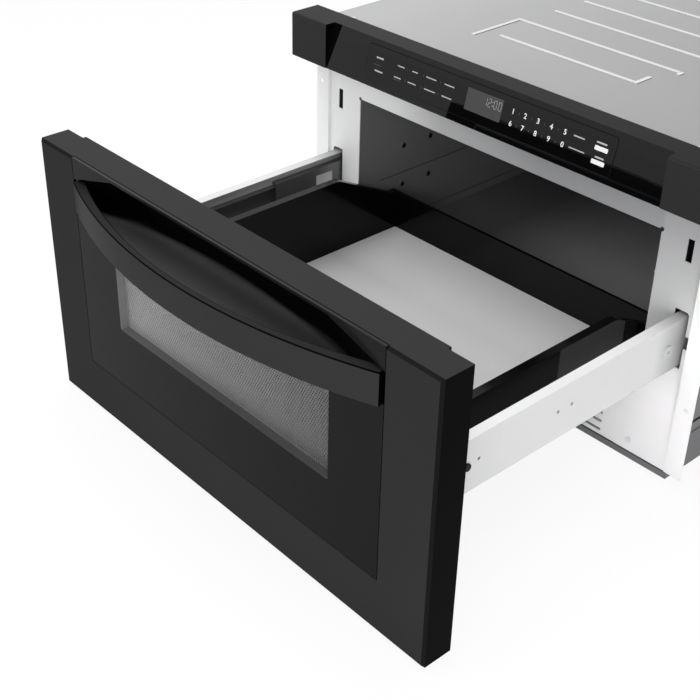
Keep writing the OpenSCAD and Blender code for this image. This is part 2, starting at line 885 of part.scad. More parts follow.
module waveguide() color(zinc) in_cabinet() difference() {
    union() {
        span([-guide_w / 2, guide_w / 2], [guide_y0, guide_y1], [ceiling_z, ceiling_z + guide_h]);
        span([-guide_w / 2 - guide_flange, guide_w / 2 + guide_flange], [guide_y0 - guide_flange, liner_back], [ceiling_z, ceiling_z + guide_t]);
    }
    span([guide_t - guide_w / 2, guide_w / 2 - guide_t], [guide_y0 + guide_t, guide_y1 - guide_t],
        [ceiling_z + guide_t, ceiling_z + guide_h - guide_t]);
    rod_z(0, stirrer_y, stirrer_hole_r, ceiling_z - cut, ceiling_z + 2 * guide_t);
    rod_z(0, stirrer_y, stirrer_shaft_r + fit, ceiling_z + guide_h - 2 * guide_t, ceiling_z + guide_h + cut);
    rod_z(0, magnetron_mid, antenna_hole_r, ceiling_z - cut, ceiling_z + 2 * guide_t);
}

module stirrer_motor() color(zinc) in_cabinet() difference() {
    union() {
        rod_z(0, stirrer_y, stirrer_motor_r, motor_seat_z, motor_seat_z + stirrer_motor_h);
        span([-stirrer_motor_r - motor_ear, stirrer_motor_r + motor_ear], [stirrer_y - motor_ear, stirrer_y + motor_ear],
            [motor_seat_z, motor_seat_z + guide_t]);
    }
    rod_z(0, stirrer_y, stirrer_shaft_r + running_fit, motor_seat_z - cut, motor_seat_z + stirrer_motor_h * shaft_share);
}

module stirrer() color(aluminium) in_cabinet() translate([0, stirrer_y, 0]) {
    rod_z(0, 0, stirrer_hub_r, vane_z - stirrer_vane_t, vane_z + stirrer_hub_h);
    rod_z(0, 0, stirrer_shaft_r, vane_z, motor_seat_z + stirrer_motor_h * shaft_share - fit);
    for (k = [0 : stirrer_vanes - 1]) rotate([0, 0, k * 360 / stirrer_vanes]) translate([stirrer_hub_r / 2, 0, vane_z + stirrer_t])
        rotate([vane_tilt, 0, 0]) span([0, stirrer_r - stirrer_hub_r / 2], [-stirrer_vane_w / 2, stirrer_vane_w / 2], [-stirrer_t / 2, stirrer_t / 2]);
}

module stirrer_cover() color(liner_grey) in_cabinet() difference() {
    translate([0, stirrer_y, cover_z0]) linear_extrude(stirrer_cover_h)
        round_rect([-stirrer_cover_w / 2, stirrer_cover_w / 2], [-stirrer_cover_w / 2, stirrer_cover_w / 2], cover_r);
    translate([0, stirrer_y, cover_z0 + stirrer_cover_t]) linear_extrude(stirrer_cover_h)
        round_rect([stirrer_cover_t - stirrer_cover_w / 2, stirrer_cover_w / 2 - stirrer_cover_t],
            [stirrer_cover_t - stirrer_cover_w / 2, stirrer_cover_w / 2 - stirrer_cover_t], cover_r - stirrer_cover_t);
}

module magnetron() color(zinc) in_cabinet() {
    magnetron_x = [-magnetron_w / 2, magnetron_w / 2];
    magnetron_ys = [magnetron_y, magnetron_y + magnetron_d];
    span(magnetron_x, magnetron_ys, [ceiling_z - yoke_t, ceiling_z]);
    span(magnetron_x, magnetron_ys, [ceiling_z - magnetron_h, ceiling_z - magnetron_h + yoke_t]);
    span(magnetron_x, [magnetron_y, magnetron_y + yoke_t], [ceiling_z - magnetron_h, ceiling_z]);
    span(magnetron_x, [magnetron_ys[1] - yoke_t, magnetron_ys[1]], [ceiling_z - magnetron_h, ceiling_z]);
    rod_z(0, magnetron_mid, anode_r, ceiling_z - magnetron_h, ceiling_z);
    rod_z(0, magnetron_mid, antenna_r, ceiling_z - yoke_t, ceiling_z + antenna_h);
    for (k = [1 : fin_count]) span([-magnetron_w / 2 + yoke_t, magnetron_w / 2 - yoke_t], magnetron_ys,
        [ceiling_z - k * fin_pitch, ceiling_z - k * fin_pitch + fin_t]);
    span([-filter_box[0] / 2, filter_box[0] / 2], [magnetron_mid - filter_box[1] / 2, magnetron_mid + filter_box[1] / 2],
        [ceiling_z - magnetron_h - filter_box[2], ceiling_z - magnetron_h + yoke_t]);
}

module high_voltage_transformer() color(iron) in_cabinet() {
    core_y = [transformer_y + winding_out, transformer_y + transformer_d - winding_out];
    core_x = [transformer_x, transformer_x + transformer_w];
    core_top = sheet_t + foot_t + transformer_h;
    span(core_x, [transformer_y, transformer_y + transformer_d], [sheet_t, sheet_t + foot_t]);
    span(core_x, core_y, [sheet_t, core_top]);
    for (share = winding_shares) translate([0, 0, sheet_t + foot_t + share * transformer_h])
        linear_extrude(winding_h_share * transformer_h)
            round_rect([transformer_x + winding_in, transformer_x + transformer_w - winding_in],
                [transformer_y + foot_t, transformer_y + transformer_d - foot_t], winding_out / 2);
}

module high_voltage_capacitor() color(aluminium) in_cabinet() {
    can_top = sheet_t + capacitor_h;
    for (side = [-1, 1]) rod_z(capacitor_x + side * can_half, capacitor_y, capacitor_d / 2, sheet_t, can_top);
    span([capacitor_x - can_half, capacitor_x + can_half], [capacitor_y - capacitor_d / 2, capacitor_y + capacitor_d / 2], [sheet_t, can_top]);
    for (side = [-1, 1]) span([capacitor_x + side * can_half - terminal_t / 2, capacitor_x + side * can_half + terminal_t / 2],
        [capacitor_y - terminal_w / 2, capacitor_y + terminal_w / 2], [can_top - cut, can_top + terminal_h]);
}

module can_plan(extra) {
    for (side = [-1, 1]) translate([capacitor_x + side * can_half, capacitor_y]) circle(capacitor_d / 2 + extra);
    translate([capacitor_x - can_half, capacitor_y - capacitor_d / 2 - extra]) square([2 * can_half, capacitor_d + 2 * extra]);
}

module capacitor_clamp() color(zinc) in_cabinet() difference() {
    union() {
        translate([0, 0, clamp_z]) linear_extrude(clamp_w) can_plan(clamp_t);
        span([clamp_x, clamp_x + clamp_t], [capacitor_y - clamp_w / 2, capacitor_y + clamp_w / 2], [sheet_t, clamp_z + clamp_w]);
        span([clamp_x, clamp_x + clamp_w], [capacitor_y - clamp_w / 2, capacitor_y + clamp_w / 2], [sheet_t, sheet_t + clamp_t]);
    }
    translate([0, 0, clamp_z - cut]) linear_extrude(clamp_w + 2 * cut) can_plan(0);
}

module high_voltage_diode() color(black) in_cabinet() {
    diode_z = sheet_t + capacitor_h + terminal_h / 2;
    rod_x(capacitor_y, diode_z, lead_r, diode_x0, diode_x1 + lead_r);
    rod_x(capacitor_y, diode_z, diode_r, diode_x0 + diode_lead, diode_x0 + diode_lead + diode_l);
    rod_z(diode_x1, capacitor_y, lead_r, sheet_t + foot_t + transformer_h, diode_z + lead_r);
}

module noise_filter() color(board_green) in_cabinet() {
    board_z = sheet_t + standoff_h;
    span([filter_x, filter_x + filter_w], [filter_y, filter_y + filter_d], [board_z, board_z + board_t]);
    for (x = [standoff_in, filter_w - standoff_in], y = [standoff_in, filter_d - standoff_in])
        rod_z(filter_x + x, filter_y + y, standoff_r, sheet_t, board_z + board_t / 2);
    rod_z(filter_x + filter_w * coil_share, filter_y + filter_d / 2, choke_r, board_z, board_z + choke_coil_h);
    rod_x(filter_y + standoff_in + fuse_r, board_z + board_t + fuse_r / 2, fuse_r, filter_x + filter_w / 2, filter_x + filter_w / 2 + fuse_l);
    span([filter_x + filter_w / 2, filter_x + filter_w / 2 + fuse_l], [filter_y + filter_d / 2, filter_y + filter_d - standoff_in],
        [board_z, board_z + choke_coil_h - board_t]);
}

module fan_shroud() color(black) in_cabinet() {
    difference() {
        span([fan_x - fan_frame_w / 2, fan_x + fan_frame_w / 2], [fan_y, fan_y + fan_frame_t], [fan_z - fan_frame_w / 2, fan_z + fan_frame_w / 2]);
        rod_y(fan_x, fan_z, fan_r + fan_gap, fan_y - cut, fan_y + fan_frame_t + cut);
    }
    for (turn = [0, 90]) translate([fan_x, 0, fan_z]) rotate([0, turn, 0]) difference() {
        span([-fan_frame_w / 2, fan_frame_w / 2], [fan_y + fan_frame_t, spider_y], [-spider_w / 2, spider_w / 2]);
        rod_y(0, 0, fan_shaft_r + fit, fan_y, spider_y + cut);
    }
}

module fan_motor() color(iron) in_cabinet() difference() {
    union() {
        span([fan_x - fan_motor_w / 2, fan_x + fan_motor_w / 2], [spider_y, spider_y + fan_motor_l * stack_share],
            [fan_z - fan_motor_w / 2, fan_z + fan_motor_w / 2]);
        rod_y(fan_x, fan_z, fan_motor_w * coil_share, spider_y, spider_y + fan_motor_l);
        rod_x(spider_y + fan_motor_l * stack_share / 2, fan_z - fan_motor_w / 2, fan_motor_l * stack_share / 2 + spider_t, fan_x - fan_motor_w * coil_share, fan_x + fan_motor_w * coil_share);
    }
    rod_y(fan_x, fan_z, fan_shaft_r + running_fit, spider_y - cut, spider_y + fan_motor_l * shaft_share);
    span([fan_x - fan_motor_w, fan_x + fan_motor_w], [spider_y - fan_motor_l, spider_y], [fan_z - 2 * fan_motor_w, fan_z + fan_motor_w]);
}

module fan_wheel() color(black) in_cabinet() translate([fan_x, 0, fan_z]) {
    wheel_y = fan_y + (fan_frame_t - fan_wheel_l) / 2;
    rod_y(0, 0, fan_hub_r, wheel_y, wheel_y + fan_wheel_l);
    rod_y(0, 0, fan_shaft_r, wheel_y, spider_y + fan_motor_l * shaft_share - fit);
    intersection() {
        rod_y(0, 0, fan_r, wheel_y, wheel_y + fan_wheel_l);
        for (k = [0 : fan_blades - 1]) rotate([0, k * 360 / fan_blades, 0]) translate([0, wheel_y + fan_wheel_l / 2, 0])
            rotate([0, 0, fan_pitch_angle]) span([-fan_blade_t / 2, fan_blade_t / 2], [-fan_wheel_l, fan_wheel_l], [fan_hub_r / 2, fan_r + cut]);
    }
}

module air_guide() color(white) in_cabinet() difference() {
    span([fan_x - fan_frame_w / 2, -magnetron_w / 2 - fit], [liner_back, fan_y], [fan_z - fan_frame_w / 2, fan_z + fan_frame_w / 2 - 2 * fan_gap]);
    span([fan_x - fan_frame_w / 2 + air_guide_t, 0], [liner_back - cut, fan_y + cut], [fan_z - fan_frame_w / 2 + air_guide_t, fan_z + fan_frame_w / 2 - air_guide_t - 2 * fan_gap]);
}

module cavity_lamp() color(white) in_cabinet() translate([lamp_x, lamp_y, ceiling_z]) {
    difference() {
        union() {
            span([-lamp_plate / 2, lamp_plate / 2], [-lamp_plate / 2, lamp_plate / 2], [0, sheet_t]);
            cylinder(h = lamp_l, r = lamp_plate / 2 - sheet_t);
        }
        translate([0, 0, -cut]) cylinder(h = lamp_l + cut - sheet_t, r = lamp_plate / 2 - 2 * sheet_t);
    }
    translate([0, 0, lamp_bulb_r + sheet_t]) sphere(lamp_bulb_r);
    rod_z(0, 0, lamp_bulb_r / 2, lamp_bulb_r, lamp_l);
    rod_z(0, 0, lamp_base_r, lamp_l - sheet_t / 2, lamp_l + lamp_base_r / 2);
}

module thermal_cutouts() color(black) in_cabinet() for (p = cutout_places) translate([p[0], p[1], ceiling_z]) {
    span([-cutout_flange / 2, cutout_flange / 2], [-cutout_r / 2, cutout_r / 2], [0, cutout_t]);
    cylinder(h = cutout_h, r = cutout_r);
    for (side = [-1, 1]) span([side * cutout_r / 2 - terminal_t / 2, side * cutout_r / 2 + terminal_t / 2],
        [-terminal_w / 2, terminal_w / 2], [cutout_h - cut, cutout_h + terminal_h]);
}

module cord_gland() color(black) in_cabinet() difference() {
    union() {
        rod_y(gland_x, gland_z, gland_r, body_d - gland_l / 2, body_d + gland_out);
        rod_y(gland_x, gland_z, gland_nut_r, body_d, body_d + gland_out / 2);
        rod_y(gland_x, gland_z, gland_nut_r, body_d - sheet_t - gland_out, body_d - sheet_t);
    }
    rod_y(gland_x, gland_z, gland_bore_r, body_d - gland_l, body_d + gland_l);
}

module on_slope() {
    translate([0, slope_foot - bezel_d, bezel_z]) rotate([-slope_angle, 0, 0]) children();
}

module bezel_outline(inset) {
    polygon([
        [slope_foot - bezel_d + inset, bezel_z + inset],
        [slope_foot + slope_back - bezel_d + inset, bezel_top - inset],
        [inset_back(inset), bezel_top - inset],
        [inset_back(inset), bezel_z + inset]
    ]);
}

module block_outline(inset) {
    front = inset - bezel_d;
    top = bezel_top - inset;
    polygon([
        [front, bezel_z + inset], [front, top - bezel_edge_r], [front + bezel_edge_r * bevel_share, top - bezel_edge_r * bevel_share],
        [front + bezel_edge_r, top], [inset_back(inset), top], [inset_back(inset), bezel_z + inset]
    ]);
}

module control_bezel() color(graphite) in_cabinet() difference() {
    union() {
        difference() {
            union() {
                sideways(-half_front, front_w) bezel_outline(0);
                both() sideways(half_front - block_w, block_w) block_outline(0);
            }
            sideways(bezel_wall - half_front, front_w - 2 * bezel_wall) bezel_outline(bezel_wall);
            both() sideways(half_front - block_w + bezel_wall, block_w - 2 * bezel_wall) block_outline(bezel_wall);
        }
        for (x = boss_shares, z = [glass_foot, glass_foot + glass_h]) on_slope()
            span([x * control_board_half - boss_r, x * control_board_half + boss_r], [glass_t, board_inset], [z - boss_r, z + boss_r]);
    }
    on_slope() translate([0, 0, glass_foot]) upright(-cut, cut + glass_t - glass_proud)
        round_rect([-glass_w / 2 - glass_seat, glass_w / 2 + glass_seat], [-glass_seat, glass_h + glass_seat], glass_corner_r);
    on_slope() span([display_x0, display_x1], [-cut, board_inset - fit], [display_foot, display_foot + display_h]);
}

module control_glass() color(black) in_cabinet() on_slope() translate([0, 0, glass_foot])
    upright(-glass_proud, glass_t) round_rect([-glass_w / 2, glass_w / 2], [0, glass_h], glass_corner_r - glass_seat);

module display() color(board_green) in_cabinet() on_slope() {
    span([display_x0 + fit, display_x1 - fit], [glass_t - glass_proud, board_inset],
        [display_foot + fit, display_foot + display_h - fit]);
}

module control_board() color(board_green) in_cabinet() on_slope() {
    span([-control_board_half - boss_r, control_board_half + boss_r], [board_inset, board_inset + board_t], [glass_foot - boss_r + 2 * fit, glass_foot + glass_h + boss_r - fit]);
    for (x = chip_shares) span([x * control_board_half - chip_w, x * control_board_half + chip_w], [board_inset + board_t / 2, board_inset + board_t + chip_h],
        [glass_foot + boss_r, glass_foot + glass_h / 2]);
}

module power_board() color(board_green) in_cabinet() {
    board_top = power_board_z + board_t;
    span(power_board_x, power_board_y, [power_board_z, board_top]);
    for (x = power_board_x, y = power_board_y) rod_z(x + (power_mid_x - x) * post_share, y + (power_mid_y - y) * post_share, standoff_r, ceiling_z, power_board_z + board_t / 2);
    for (k = relay_shares) translate([power_board_x[0] + standoff_in, power_board_y[0] + k * (power_board_y[1] - power_board_y[0]), board_top - board_t / 2]) cube(relay);
    translate([power_mid_x, power_mid_y, board_top - board_t / 2]) cube(heat_sink);
    rod_z(power_mid_x + heat_sink[0] + choke_r, power_mid_y - choke_r, choke_r * coil_share, board_top - board_t / 2, board_top + choke_coil_h);
}

module drive_bracket() color(zinc) in_cabinet() {
    span([gearbox_x0 - drive_plate_t, gearbox_x0], [gearbox_y0, gearbox_y0 + gearbox[1]], [sheet_t, gearbox_z1]);
    span([gearbox_x0 - drive_plate_t, gearbox_x0 + gearbox[0]], [gearbox_y0, gearbox_y0 + gearbox[1]], [sheet_t, sheet_t + drive_plate_t]);
}

module drive_gearbox() color(white) in_cabinet() difference() {
    union() {
        span([gearbox_x0, gearbox_x0 + gearbox[0]], [gearbox_y0, gearbox_y0 + gearbox[1]], [gearbox_z1 - gearbox[2], gearbox_z1]);
        rod_x(pinion_y, pinion_z, 2 * pinion_shaft_r, gearbox_x0 + gearbox[0] / 2, gearbox_x0 + gearbox[0] + gearbox_gap / 2);
    }
    rod_x(pinion_y, pinion_z, pinion_shaft_r + running_fit, gearbox_x0 + gearbox[0] * shaft_share - fit, arm_half);
}

module drive_motor() color(iron) in_cabinet() {
    motor_y = gearbox_y0 + gearbox[1];
    rod_y(gearbox_x0 + gearbox[0] / 2, drive_motor_z, drive_motor_r, motor_y, motor_y + drive_motor_l);
    rod_y(gearbox_x0 + gearbox[0] / 2, drive_motor_z, drive_motor_r / 2, motor_y + drive_motor_l - cut, motor_y + drive_motor_l + spider_t);
}

function involute(a) = tan(a) - a / degree;
function tooth_half(r) = (tooth_angle / 4 + (involute(pressure_angle) - involute(acos(min(1, base_r / r)))) * degree);

module drive_pinion() color(brass) in_cabinet() translate([0, pinion_y, pinion_z]) {
    sideways(rack_x0 + fit, rack_w - 2 * fit) difference() {
        union() {
            circle(root_r + fit / 2);
            for (k = [0 : pinion_teeth - 1]) rotate(90 + (k + half_share) * 360 / pinion_teeth) polygon(concat(
                [for (r = tooth_radii) [r * cos(tooth_half(r)), -r * sin(tooth_half(r))]],
                [for (k = [1 : len(tooth_radii)]) [tooth_radii[len(tooth_radii) - k] * cos(tooth_half(tooth_radii[len(tooth_radii) - k])),
                    tooth_radii[len(tooth_radii) - k] * sin(tooth_half(tooth_radii[len(tooth_radii) - k]))]]));
        }
    }
    rod_x(0, 0, pinion_shaft_r, gearbox_x0 + gearbox[0] * shaft_share, rack_x0 + rack_w - fit);
}

module slide_brackets() color(zinc) in_cabinet() both() difference() {
    union() {
        span([slide_x - sheet_t, slide_x], [fixed_rail_y, fixed_rail_y + fixed_rail_l], [bracket_z0, bracket_z1]);
        span([liner_half, slide_x], bracket_y, [bracket_z1 - sheet_t, bracket_z1]);
        span([liner_half, slide_x], bracket_y, [bracket_z0, bracket_z0 + sheet_t]);
        span([liner_half, liner_half + sheet_t], bracket_y, [bracket_z1 - sheet_t, bracket_z1 + bracket_lip]);
        span([liner_half, liner_half + sheet_t], bracket_y, [bracket_z0 - bracket_lip, bracket_z0 + sheet_t]);
    }
    for (y = bracket_hole_y, z = bracket_hole_z) rod_x(y, z, screw_hole_r, liner_half - cut, liner_half + 2 * sheet_t);
}

module rail(t0, lip, h, y0, l) {
    span([slide_x + t0, slide_x + t0 + rail_t], [y0, y0 + l], [slide_z - h, slide_z + h]);
    for (z = [-h, h - rail_t]) span([slide_x + t0, slide_x + t0 + lip], [y0, y0 + l], [slide_z + z, slide_z + z + rail_t]);
}

module fixed_rails() color(zinc) in_cabinet() both() rail(0, fixed_lip, slide_h / 2, fixed_rail_y, fixed_rail_l);

module middle_rail() {
    difference() {
        rail(middle_web, middle_lip, middle_outer_h, middle_rail_y, middle_rail_l);
        span([slide_x + middle_web - cut, slide_x + middle_web + rail_t + cut], [middle_rail_y + rail_window_y, middle_rail_y + rail_window_y + rail_window_l],
            [slide_z - rail_window_h, slide_z + rail_window_h]);
    }
}

module left_middle_rail() color(zinc) in_cabinet() mirror([1, 0, 0]) middle_rail();

module right_middle_rail() color(zinc) in_cabinet() middle_rail();

module ball_row(t0, lip, ball_x, ball_h, y0, l, n) {
    side_z = ball_h + cage_t / 2;
    difference() {
        union() {
            for (z = [-side_z, side_z - cage_t]) span([slide_x + t0, slide_x + ball_x + lip], [y0, y0 + l], [slide_z + z, slide_z + z + cage_t]);
            span([slide_x + t0, slide_x + t0 + cage_t], [y0, y0 + l], [slide_z - side_z, slide_z + side_z]);
        }
        for (k = [0 : n - 1]) rod_z(slide_x + ball_x, y0 + (k + half_share) * l / n, ball_d / 2 + running_fit, slide_z - slide_h, slide_z + slide_h);
    }
    for (k = [0 : n - 1], side = [-1, 1]) translate([slide_x + ball_x, y0 + (k + half_share) * l / n, slide_z + side * ball_h]) sphere(ball_d / 2);
}

module outer_balls() {
    ball_row(rail_t + ball_gap, ball_lip, outer_ball_x, outer_ball_h, outer_cage_y, outer_cage_l, outer_balls_n);
}

module inner_balls() {
    ball_row(middle_web + rail_t + ball_gap, ball_lip, inner_ball_x, inner_ball_h, inner_cage_y, inner_cage_l, inner_balls_n);
}

module left_outer_balls() color(zinc) in_cabinet() mirror([1, 0, 0]) outer_balls();

module right_outer_balls() color(zinc) in_cabinet() outer_balls();

module left_inner_balls() color(zinc) in_cabinet() mirror([1, 0, 0]) inner_balls();

module right_inner_balls() color(zinc) in_cabinet() inner_balls();

module switch_brackets() color(zinc) in_cabinet() both() {
    span([switch_x - switch_plate_t, switch_x], [sheet_t, sheet_t + switch_plate_l + switch_y - lever_l], switch_plate_z);
    span([switch_x - switch_plate_t - foot_h, switch_x], [sheet_t, 2 * sheet_t], switch_plate_z);
    rod_x(lever_y, lever_pin_z, lever_pin_r, switch_x - switch_plate_t / 2, switch_x + switch_body[0] - lever_t);
}

module door_switches() color(black) in_cabinet() both() for (side = [-1, 1]) translate([switch_x, switch_y, slot_z + side * switch_pitch / 2 - switch_body[2] / 2]) {
    cube(switch_body);
    rod_y(switch_body[0] / 2, switch_body[2] / 2, lever_t, -lever_t, lever_t);
    for (k = terminal_shares) span([switch_body[0] / 2 - terminal_t / 2, switch_body[0] / 2 + terminal_t / 2],
        [switch_body[1] - cut, switch_body[1] + terminal_h], [k * switch_body[2] - terminal_w / 4, k * switch_body[2] + terminal_w / 4]);
}

module switch_lever() {
    difference() {
        union() {
            span([switch_x + fit, switch_x + switch_body[0] - lever_t], [lever_face_y, lever_face_y + lever_t], [lever_pin_z, lever_pin_z + lever_reach]);
            rod_x(lever_y, lever_pin_z, lever_hub_r, switch_x + fit, switch_x + switch_body[0] - lever_t);
        }
        rod_x(lever_y, lever_pin_z, lever_pin_r + running_fit, switch_x - cut, switch_x + switch_body[0] + cut);
    }
}

module left_switch_lever() color(zinc) in_cabinet() mirror([1, 0, 0]) switch_lever();

module right_switch_lever() color(zinc) in_cabinet() switch_lever();

module body_screws() color(chrome) in_cabinet() {
    both() screw_y(tab_mid, 0, tab_screw_z);
    both() for (x = rear_screw_x) translate([x, body_d, rear_screw_z]) rotate([0, 0, 180]) screw_y(0, 0, 0);
    both() for (z = [-1, 1]) screw_x(half_body, frame_return / 2, side_screw_z + z * side_screw_pitch);
    both() translate([top_screw_x, top_screw_y, body_h]) rotate([0, -90, 0]) screw_x(0, 0, 0);
    both() for (y = bracket_hole_y, z = bracket_hole_z) translate([half_cavity, y, z]) rotate([0, 0, 180]) screw_x(0, 0, 0);
}

module chamfered_box() {
    intersection() {
        translate([0, 0, 0]) linear_extrude(front_h) polygon([
            [face_chamfer - half_front, 0], [half_front - face_chamfer, 0], [half_front, face_chamfer],
            [half_front, front_t], [-half_front, front_t], [-half_front, face_chamfer]
        ]);
        sideways(-half_front, front_w) polygon([
            [0, face_chamfer], [0, front_h - face_chamfer], [face_chamfer, front_h],
            [front_t, front_h], [front_t, 0], [face_chamfer, 0]
        ]);
    }
}

module drawer_frame() color(graphite) in_drawer() difference() {
    union() {
        chamfered_box();
        span([lip_in - half_front, half_front - lip_in], [front_t - shell_t, front_t + lip_out], [front_h - lip_h, front_h]);
    }
    span([shell_t - half_front, half_front - shell_t], [shell_t, front_t - shell_t], [shell_t, front_h - shell_t]);
    span([-panel_half, panel_half], [-cut, cap_in], [rail_h, front_h + cut]);
    span([rear_return - half_front, half_front - rear_return], [front_t - 2 * shell_t, front_t + cut], [rear_return, front_h - rear_return]);
    both() for (z = arm_screw_z) rod_y(arm_screw_x, z, screw_hole_r, front_t - 2 * shell_t, front_t + cut);
    both() for (z = hook_screw_z) rod_y(hook_screw_x, z, screw_hole_r, front_t - 2 * shell_t, front_t + cut);
}

module pocket_plan(extra) {
    intersection() {
        translate([0, pocket_cy]) circle(pocket_r + extra, $fn = fine_fn);
        translate([-panel_half, -cut]) square([2 * panel_half, cut + pocket_d + extra]);
    }
}

module pocket_space(extra_low, extra_high) {
    translate([0, 0, pocket_z0]) linear_extrude(lintel_z - pocket_z0) pocket_plan(extra_low);
    translate([0, 0, lintel_z - fit / 2]) linear_extrude(strip_z - lintel_z + fit / 2) pocket_plan(extra_high);
}

module door_panel() color(black) in_drawer() {
    difference() {
        union() {
            span([-panel_edge, panel_edge], [0, panel_t], [rail_h + panel_gap, panel_z1]);
            both() span([post_x0, panel_edge], [0, post_d], [pocket_z0 - post_lap, strip_z]);
            span([-window_half - collar_t, window_half + collar_t], [0, reveal_d], [window_z - collar_t, window_z + window_h + collar_t]);
        }
        pocket_space(lintel_step, 0);
        upright(-cut, reveal_d + 2 * cut) round_rect([-window_half, window_half], [window_z, window_z + window_h], window_corner_r);
    }
    both() upright(0, panel_t) polygon([[panel_edge, lintel_z], [panel_edge, strip_z + top_gap], [mouth_half, strip_z + top_gap]]);
}

module grip_cup() color(black) in_drawer() {
    difference() {
        union() {
            translate([0, 0, pocket_z0 - cup_t]) linear_extrude(lintel_z - pocket_z0 + 2 * cup_t) pocket_plan(lintel_step + cup_t);
            translate([0, 0, lintel_z]) linear_extrude(strip_z - lintel_z + cup_t) pocket_plan(cup_t);
        }
        pocket_space(lintel_step, 0);
        span([-half_front, half_front], [-front_t, panel_t], [0, front_h]);
        both() span([post_x0, half_front], [-cut, post_d], [0, front_h]);
    }
    intersection() {
        translate([0, 0, pocket_z0 - fit / 2]) linear_extrude(cup_fillet) pocket_plan(lintel_step + fit / 2);
        difference() {
            span([-panel_half, panel_half], [cup_back - cup_fillet, cup_back + fit / 2], [pocket_z0 - fit / 2, pocket_z0 + cup_fillet]);
            rod_x(cup_back - cup_fillet, pocket_z0 + cup_fillet, cup_fillet, -half_front, half_front);
        }
    }
}

module grip_plan() {
    intersection() {
        translate([0, grip_r - grip_bow]) circle(grip_r, $fn = fine_fn);
        translate([-grip_half, -grip_bow - cut]) square([2 * grip_half, grip_bow + pocket_arc_d]);
    }
}

module grip() color(graphite) in_drawer() {
    difference() {
        translate([0, 0, grip_z]) linear_extrude(grip_h) intersection() {
            grip_plan();
            union() {
                translate([-grip_half, -grip_bow - cut]) square([2 * grip_half, grip_bow + cut]);
                pocket_plan(lintel_step);
            }
        }
        translate([0, grip_inner_r - grip_bow + grip_t, grip_z + grip_floor_t]) cylinder(h = grip_h, r = grip_inner_r, $fn = fine_fn);
        span([-grip_half - cut, grip_half + cut], [0, front_t], [0, grip_z + grip_floor_t]);
    }
}

module window_glass() color(clear) in_drawer() upright(reveal_d - window_glass_t, window_glass_t)
    round_rect([glass_gap - window_half, window_half - glass_gap], [window_z + glass_gap, window_z + window_h - glass_gap], window_corner_r);

module window_screen() color(zinc) in_drawer() difference() {
    span([-window_half - screen_lap, window_half + screen_lap], [reveal_d, reveal_d + screen_t], [window_z - screen_lap / 2, window_z + window_h + screen_lap / 4]);
    for (i = [-screen_cols : screen_cols], j = [0 : screen_rows - 1]) rod_y(i * screen_pitch, window_z + (j + half_share) * screen_pitch,
        screen_hole, reveal_d - cut, reveal_d + screen_t + cut);
}

module choke_frame() color(zinc) in_drawer() difference() {
    union() {
        span([-choke_half, choke_half], [front_t, front_t + plate_out], [choke_z0, choke_z1]);
        span([-choke_pan_half, choke_pan_half], [reveal_d + screen_t, front_t + plate_out], choke_pan_z);
    }
    span([choke_t - choke_pan_half, choke_pan_half - choke_t], [reveal_d + screen_t + choke_t, front_t + plate_out + cut],
        [choke_pan_z[0] + choke_t, choke_pan_z[1] - choke_t]);
    upright(reveal_d - cut, front_t) round_rect([-window_half, window_half], [window_z, window_z + window_h], window_corner_r);
    both() for (z = tub_screw_z) rod_y(tub_screw_x, z, screw_hole_r, front_t - cut, front_t + plate_out + cut);
}

module choke_cover() color(black) in_drawer() difference() {
    span([-cover_half, cover_half], [front_t + plate_out, front_t + plate_out + cover_out], [choke_z0 + cover_in, choke_z1 - cover_in]);
    upright(front_t, front_t) round_rect([-window_half, window_half], [window_z, window_z + window_h], window_corner_r);
    both() for (z = tub_screw_z) rod_y(tub_screw_x, z, screw_hole_r, front_t, front_t + 2 * plate_out + cover_out);
}

module rim_profile(drop, foot) {
    polygon(concat(
        [[tub_front, foot], [tub_front, rim_z - drop]],
        [for (k = [0 : rim_steps]) [rim_bend_y + rim_bend * sin(k * rim_angle / rim_steps), rim_z - drop - rim_bend * (1 - cos(k * rim_angle / rim_steps))]],
        [[rim_low_y, rear_rim_z - drop], [tub_end, rear_rim_z - drop], [tub_end, foot]]
    ));
}

module drawer_tub() color(black) in_drawer_from_base() difference() {
    sideways(-tub_half - rim_w, 2 * (tub_half + rim_w)) rim_profile(0, tub_z0);
    translate([0, 0, tub_z0 + tub_t]) linear_extrude(front_h) round_rect([-tub_half, tub_half], [tub_front + tub_t, tub_back], tub_corner_r);
    both() sideways(tub_half + tub_t, rim_w - 2 * tub_t) rim_profile(rim_h, 0);
    both() sideways(tub_half + tub_t, rim_w) rim_profile(skirt_h, 0);
    span([-half_body, half_body], [tub_back + tub_t, tub_end - tub_t], [0, rear_rim_z - rim_h]);
    span([-half_body, half_body], [tub_back + tub_t, tub_end + cut], [0, rear_rim_z - skirt_h / 2]);
    both() for (z = tub_screw_z) rod_y(tub_screw_x, z + front_lift, screw_hole_r, 0, tub_front + 2 * cut);
}

module glass_tray() color(clear) in_drawer_from_base() translate([0, 0, tray_z - tray_t]) linear_extrude(tray_t)
    round_rect([tray_gap - tub_half, tub_half - tray_gap], [tub_front + tub_t + tray_gap, tub_back - tray_gap], tub_corner_r);

